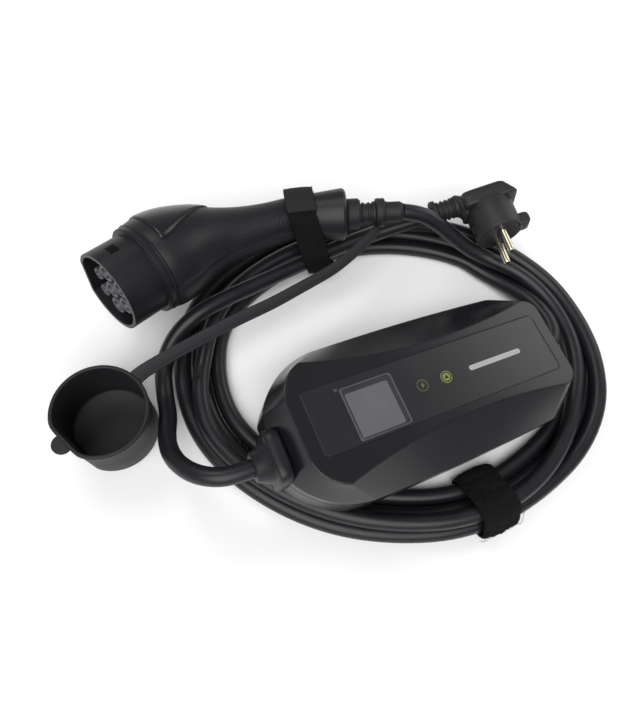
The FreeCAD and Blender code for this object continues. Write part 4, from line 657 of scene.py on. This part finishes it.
def ring_mark(name, x, inner, outer, low, look):
    """A thin printed ring round a point of the panel's middle line."""
    section = ((inner, 0.0), (inner, INK), (outer, INK), (outer, 0.0))
    rings = [[(x + radius * cosine, radius * sine, low + up) for radius, up in section]
             for cosine, sine in circle(1.0, 40)]
    item = skin(name, rings, look, "lead", box, loop=True)


window_top = top_of("display_window")
RIM_AT = (-38.9, -1.9)
RIM_STEPS = ((0.0, -1.6), (0.0, 0.25), (0.3, 0.5), (1.0, 0.5), (1.3, 0.3), (1.3, -0.3))
pane("display_bezel", 17.5, 16.9, RIM_STEPS, RIM_AT, 22.0, bezel_plastic, loop=True)
pane("display_glass", 16.1, 15.5, ((0.0, -0.3), (0.0, 0.02), (0.1, 0.05)), RIM_AT, 22.0, window_film)
pane("display_screen", 14.4, 13.9, ((0.0, -0.1), (0.0, 0.12), (0.15, 0.16)), (-39.8, -3.2), 26.0, screen_film)
flat_mark("panel_dot", circle(1.1, 16, -58.0, 14.8), top_of("front_panel"), bezel_plastic, 0.15)

# the signs: a bolt in a ring on the left light, and a triangle on a disc in a ring on the right one
INK = 0.06
LEFT_LIGHT, RIGHT_LIGHT = -4.9, 12.7
BOLT = [(0.9, 2.4), (-1.5, -0.3), (-0.2, -0.2), (-0.8, -2.4), (1.6, 0.5), (0.3, 0.4)]
TRIANGLE = [(12.7, 1.7), (11.1, -1.1), (14.3, -1.1)]
lens_top = top_of("status_lights")
ring_mark("left_ring", LEFT_LIGHT, 3.35, 3.8, lens_top, print_olive)
flat_mark("left_bolt", [(LEFT_LIGHT + x, y) for x, y in BOLT], lens_top, print_olive, INK)
ring_mark("right_ring", RIGHT_LIGHT, 3.45, 4.0, lens_top, print_lime)
flat_mark("right_disc", circle(2.6, 24, RIGHT_LIGHT), lens_top, print_lime, INK)
flat_mark("right_triangle", TRIANGLE, lens_top + 0.03, lens_smoke, 0.07)


# Mains plug
# One moulded body over two round nickel-plated brass pins and two earth strips: a round head, a bevelled hood
# with a short neck for the ribbed cable sleeve, and a lug on the other side.

plug_plastic = moulded("plug_plastic", (0.017, 0.016, 0.018), 0.50, grains=1600.0, depth=0.05, rounding=0.5,
                       specular=0.35)
pin_metal = moulded("pin_metal", (0.62, 0.57, 0.44), 0.25, grains=900.0, depth=0.01, metallic=1.0)
dress(plug_plastic, "plug_face")
dress(rubber, "plug_boot")
dress(pin_metal, "plug_pins", "earth_clips")
# the plug's frame: X away from its cable, Z out along the pins, and the face at height 0
plug = standing(126.6, 87.8, 44.0, (16.0, "Z"), (90.0, "X"), (15.0, "Z"))

# the head: radius and height, with a groove for the earth strip on two sides from the face down
HEAD_ROWS = (
    (12.0, -25.5), (14.6, -25.2), (16.2, -24.4), (17.0, -22.6), (17.0, -0.9), (16.8, -0.3), (16.4, 0.0),
    (14.8, 0.0), (14.7, -2.9))
GROOVE_RADIUS, GROOVE_END = 16.2, -15.2
HALF_TURN = 36
rings = []
for radius, height in HEAD_ROWS:
    ring = []
    for number, (cosine, sine) in enumerate(circle(1.0, 2 * HALF_TURN)):
        from_groove = min(number % HALF_TURN, HALF_TURN - number % HALF_TURN)
        in_groove = from_groove <= 2 and height >= GROOVE_END
        reach = min(radius, GROOVE_RADIUS) if in_groove else radius
        ring.append((reach * cosine, reach * sine, height))
    rings.append(ring)
head = skin("plug_head", rings, plug_plastic, "lead", plug)

# the hood: height, where it starts and ends along X, and half its width
HOOD_ROWS = (
    (-35.5, -15.0, 11.5, 11.0), (-35.2, -17.0, 13.4, 12.8), (-34.0, -18.0, 14.8, 13.8),
    (-29.0, -18.0, 18.0, 14.2), (-25.4, -18.0, 20.4, 14.4), (-24.0, -18.0, 20.8, 14.4),
    (-23.3, -17.4, 20.2, 13.8), (-23.1, -15.0, 18.0, 12.0))
hood = skin("plug_hood", [squared(((end - start) / 2, half), height, (start + end) / 2, 0.0, 8.0)
                          for height, start, end, half in HOOD_ROWS], plug_plastic, "lead", plug)

# the neck: place along X, height of its middle, and radius
NECK_ROWS = (
    (-12.0, -28.6, 8.0), (-16.0, -29.4, 9.6), (-18.2, -30.6, 9.6), (-19.4, -32.0, 9.0), (-20.6, -33.0, 8.4))
neck = skin("plug_neck", [[(x, y, z) for y, z in circle(radius, 40, 0.0, middle)]
                          for x, middle, radius in NECK_ROWS], plug_plastic, "lead", plug)

# the lug: place across, and how far its outline is drawn in there
LUG_X, LUG_Z = 17.6, -4.8
LUG_HALF_X, LUG_HALF_Z = 5.6, 4.8
LUG_ROWS = ((-5.6, 1.6), (-5.2, 0.5), (-4.4, 0.0), (4.4, 0.0), (5.2, 0.5), (5.6, 1.6))
rings = []
for across, inset in LUG_ROWS:
    outline = squared((LUG_HALF_X - inset, LUG_HALF_Z - inset), across, LUG_X, LUG_Z, 3.2)
    rings.append([(x, y, z) for x, z, y in outline])
lug = skin("plug_lug", rings, plug_plastic, "lead", plug)
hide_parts("plug_shell")


# Straps
# Hook-and-loop straps, woven nylon with a looped pile outside and cut edges: one ties the handle to the coil,
# the other the coil by itself. The handle's strap lies over its own end, which is pressed on from outside.

BAND_GAP = 0.4
FIBRES = 6000
# a leaning strap is shifted by its lean at table height, and not at all at this height
LEAN_HEIGHT = 30.0


def hull_line(circles, step):
    """Even steps round a belt over circles (across, up, radius): each a spot and its outward angle."""
    angles = []
    count = len(circles)
    pairs = [(circles[number], circles[(number + 1) % count]) for number in range(count)]
    for a, b in pairs:
        run = math.hypot(b[0] - a[0], b[1] - a[1])
        angles.append(math.atan2(b[1] - a[1], b[0] - a[0]) - math.acos((a[2] - b[2]) / run))
    line = []
    for number, (a, b) in enumerate(pairs):
        angle = angles[number]
        start = Vector((a[0] + a[2] * math.cos(angle), a[1] + a[2] * math.sin(angle)))
        end = Vector((b[0] + b[2] * math.cos(angle), b[1] + b[2] * math.sin(angle)))
        pieces = max(1, round((end - start).length / step))
        line += [(*start.lerp(end, piece / pieces), angle) for piece in range(pieces)]
        bend = (angles[(number + 1) % count] - angle) % (2 * math.pi)
        pieces = max(1, round(bend * b[2] / step))
        for piece in range(pieces):
            here = angle + bend * piece / pieces
            line.append((b[0] + b[2] * math.cos(here), b[1] + b[2] * math.sin(here), here))
    return line


def shifted(lean, height):
    """How far a leaning strap lies to the side at one height."""
    return lean * (LEAN_HEIGHT - height) / LEAN_HEIGHT


def band_rings(line, low, thick, width, seed, pile, lean):
    """Sections of a strap along a line: flat inside, with an uneven pile outside and soft edges."""
    rings = []
    count = round(width / 0.7)
    for x, y, angle in line:
        ring = []
        shift = shifted(lean, y)
        for number in range(count + 1):
            side = (number / count - 0.5) * width
            edge = 0.35 + 0.65 * math.sin(math.pi * number / count) ** 0.5
            rough = noise.noise(Vector((x * 0.28 + seed, y * 0.28, side * 0.28))) * 1.2
            rough += 0.7 * noise.noise(Vector((x * 0.9 + seed, y * 0.9, side * 0.9)))
            rough += 0.7 * noise.noise(Vector((x * 2.3, y * 2.3 + seed, side * 2.3)))
            out = low + thick * edge + pile * rough
            wander = 0.9 * pile * noise.noise(Vector((x + seed, y, number)))
            # the pile under the coil is pressed flat on the table
            height = max(0.12, y + out * math.sin(angle))
            ring.append((x + out * math.cos(angle), height, side + shift + wander))
        for number in range(4, -1, -1):
            side = (number / 4 - 0.5) * width * 0.97
            ring.append((x + low * math.cos(angle), y + low * math.sin(angle), side + shift))
        rings.append(ring)
    return rings


def loose_fibres(name, line, out, width, look, place, seed, lean):
    """Short fibres that stand out of the pile, each one thin leaf, most of them at the edges."""
    chance = random.Random(seed)
    shape = bmesh.new()
    for number in range(FIBRES):
        x, y, angle = line[chance.randrange(len(line))]
        at_edge = number % 3 == 0
        if at_edge:
            side = math.copysign(width / 2, chance.random() - 0.5)
        else:
            side = (chance.random() - 0.5) * width
        astray = Vector([chance.uniform(-0.9, 0.9) for _ in range(3)])
        way = Vector((math.cos(angle), math.sin(angle), 0)) + astray
        if at_edge:
            way.z += math.copysign(1.2, side)
        root = Vector((x + out * math.cos(angle), y + out * math.sin(angle), side + shifted(lean, y)))
        tip = root + way.normalized() * chance.uniform(0.4, 1.0)
        # none stand where the strap lies on the table
        if root.y < 2.5:
            continue
        half = way.cross(Vector((chance.random(), chance.random(), chance.random()))).normalized() * 0.07
        shape.faces.new([shape.verts.new(place @ (spot / 1000)) for spot in (root - half, root + half, tip)])
    mesh = bpy.data.meshes.new(name)
    shape.to_mesh(mesh)
    shape.free()
    mesh.materials.append(look)
    item = bpy.data.objects.new(name, mesh)
    scene.collection.objects.link(item)
    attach(item, "lead")
    return item


strap_pile = moulded("strap_pile", (0.006, 0.006, 0.007), 0.95, grains=1300.0, depth=0.6, tone=0.45, edge=0.0,
                     specular=0.15)
strap_weave = moulded("strap_weave", (0.012, 0.012, 0.013), 0.80, grains=900.0, depth=0.3, tone=0.3, edge=0.0,
                      specular=0.25)


def strap(name, node, place, width, thick, circles, number, lean=0.0, end_angles=None):
    """A strap pulled tight round the circles, its fibres and, between two angles, its end on top."""
    line = hull_line(circles, 0.9)
    rings = band_rings(line, BAND_GAP, thick, width, 7.0 * number, 0.6, lean)
    band = skin(name, rings, strap_pile, "lead", place, loop=True)
    fibres = loose_fibres(name + "_fibres", line, thick + BAND_GAP, width, strap_pile, place, 11 + number,
                          lean)
    if end_angles:
        over = [spot for spot in line if end_angles[0] < spot[2] % (2 * math.pi) < end_angles[1]]
        rings = band_rings(over, thick + 0.6, 1.1, width + 1.0, 3.0, 0.14, lean)
        skin(name + "_end", rings, strap_weave, "lead", place)
    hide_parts(node)


# the circles are the cables' and the handle's sections in the strap's plane: across, up, radius
LOW = RADIUS_MM + 2.0
HANDLE_CIRCLES = [(-10.4, LOW, RADIUS_MM), (20.2, LOW, RADIUS_MM), (2.6, 45.4, 17.3), (-18.0, 22.4, 9.0)]
strap("handle_band", "handle_strap", standing(-9.5, 91.3, 0.0, (101.0, "Z"), (90.0, "X")), width=19.0,
      thick=1.8, circles=HANDLE_CIRCLES, number=0, lean=9.6, end_angles=(0.9, 2.05))
# the coil's upper turns lie in the hollows of the lower ones
COIL_SLACK = 1.6
UPPER = LOW + 1.732 * RADIUS_MM
COIL_CIRCLES = [
    (-CABLE_MM - COIL_SLACK, LOW, RADIUS_MM), (CABLE_MM + COIL_SLACK, LOW, RADIUS_MM),
    (RADIUS_MM + COIL_SLACK, UPPER, RADIUS_MM + 0.1), (RADIUS_MM - COIL_SLACK, UPPER, RADIUS_MM + 0.1)]
strap("coil_band", "coil_strap", standing(109.9, -96.6, 0.0, (-66.0, "Z"), (90.0, "X")), width=28.0,
      thick=3.2, circles=COIL_CIRCLES, number=1)


# Table and studio
# A plain pale table top under a white surround, lit by one broad soft light from above the camera's side and
# by two soft boxes behind the object.

TABLE_HALF = 6.0
table_mesh = bpy.data.meshes.new("floor")
table_shape = bmesh.new()
bmesh.ops.create_grid(table_shape, x_segments=1, y_segments=1, size=TABLE_HALF)
table_shape.to_mesh(table_mesh)
table_shape.free()
table = bpy.data.objects.new("floor", table_mesh)
table.location = (0.0, 0.0, -0.0002)
scene.collection.objects.link(table)
pale = bpy.data.materials.new("pale_floor")
pale.use_nodes = True
shader = pale.node_tree.nodes["Principled BSDF"]
shader.inputs["Base Color"].default_value = (0.86, 0.86, 0.87, 1.0)
shader.inputs["Roughness"].default_value = 0.7
shader.inputs["Specular IOR Level"].default_value = 0.2
table_mesh.materials.append(pale)


def soft_box(name, spot, target, width, height, power):
    """A rectangular lamp that faces its target."""
    light = bpy.data.lights.new(name, "AREA")
    light.shape = "RECTANGLE"
    light.size = width
    light.size_y = height
    light.energy = power
    item = bpy.data.objects.new(name, light)
    item.location = spot
    item.rotation_euler = (Vector(target) - Vector(spot)).to_track_quat("-Z", "Y").to_euler()
    scene.collection.objects.link(item)


soft_box("top_soft_box", (-0.5, 0.55, 1.0), (0.0, 0.05, 0.0), 0.5, 0.4, 3.0)
soft_box("right_soft_box", (1.0, 0.7, 0.7), (0.05, 0.0, 0.03), 0.8, 0.7, 4.0)
broad = bpy.data.lights.new("broad_soft_light", "SUN")
broad.angle = math.radians(60)
broad.energy = 3.0
sun = bpy.data.objects.new("broad_soft_light", broad)
sun.rotation_euler = (math.radians(33), math.radians(-8), 0.0)
scene.collection.objects.link(sun)

# the surround is white to the camera, and lights the object with less
SURROUND_LIGHT = 0.28
world = bpy.data.worlds.new("studio")
scene.world = world
world.use_nodes = True
sky = world.node_tree
sky.nodes["Background"].inputs["Color"].default_value = (1.0, 1.0, 1.0, 1.0)
path = sky.nodes.new("ShaderNodeLightPath")
level = math_node(sky, "MAXIMUM", path.outputs["Is Camera Ray"], SURROUND_LIGHT)
sky.links.new(level, sky.nodes["Background"].inputs["Strength"])
scene.view_settings.view_transform = "Standard"

bpy.context.view_layer.update()
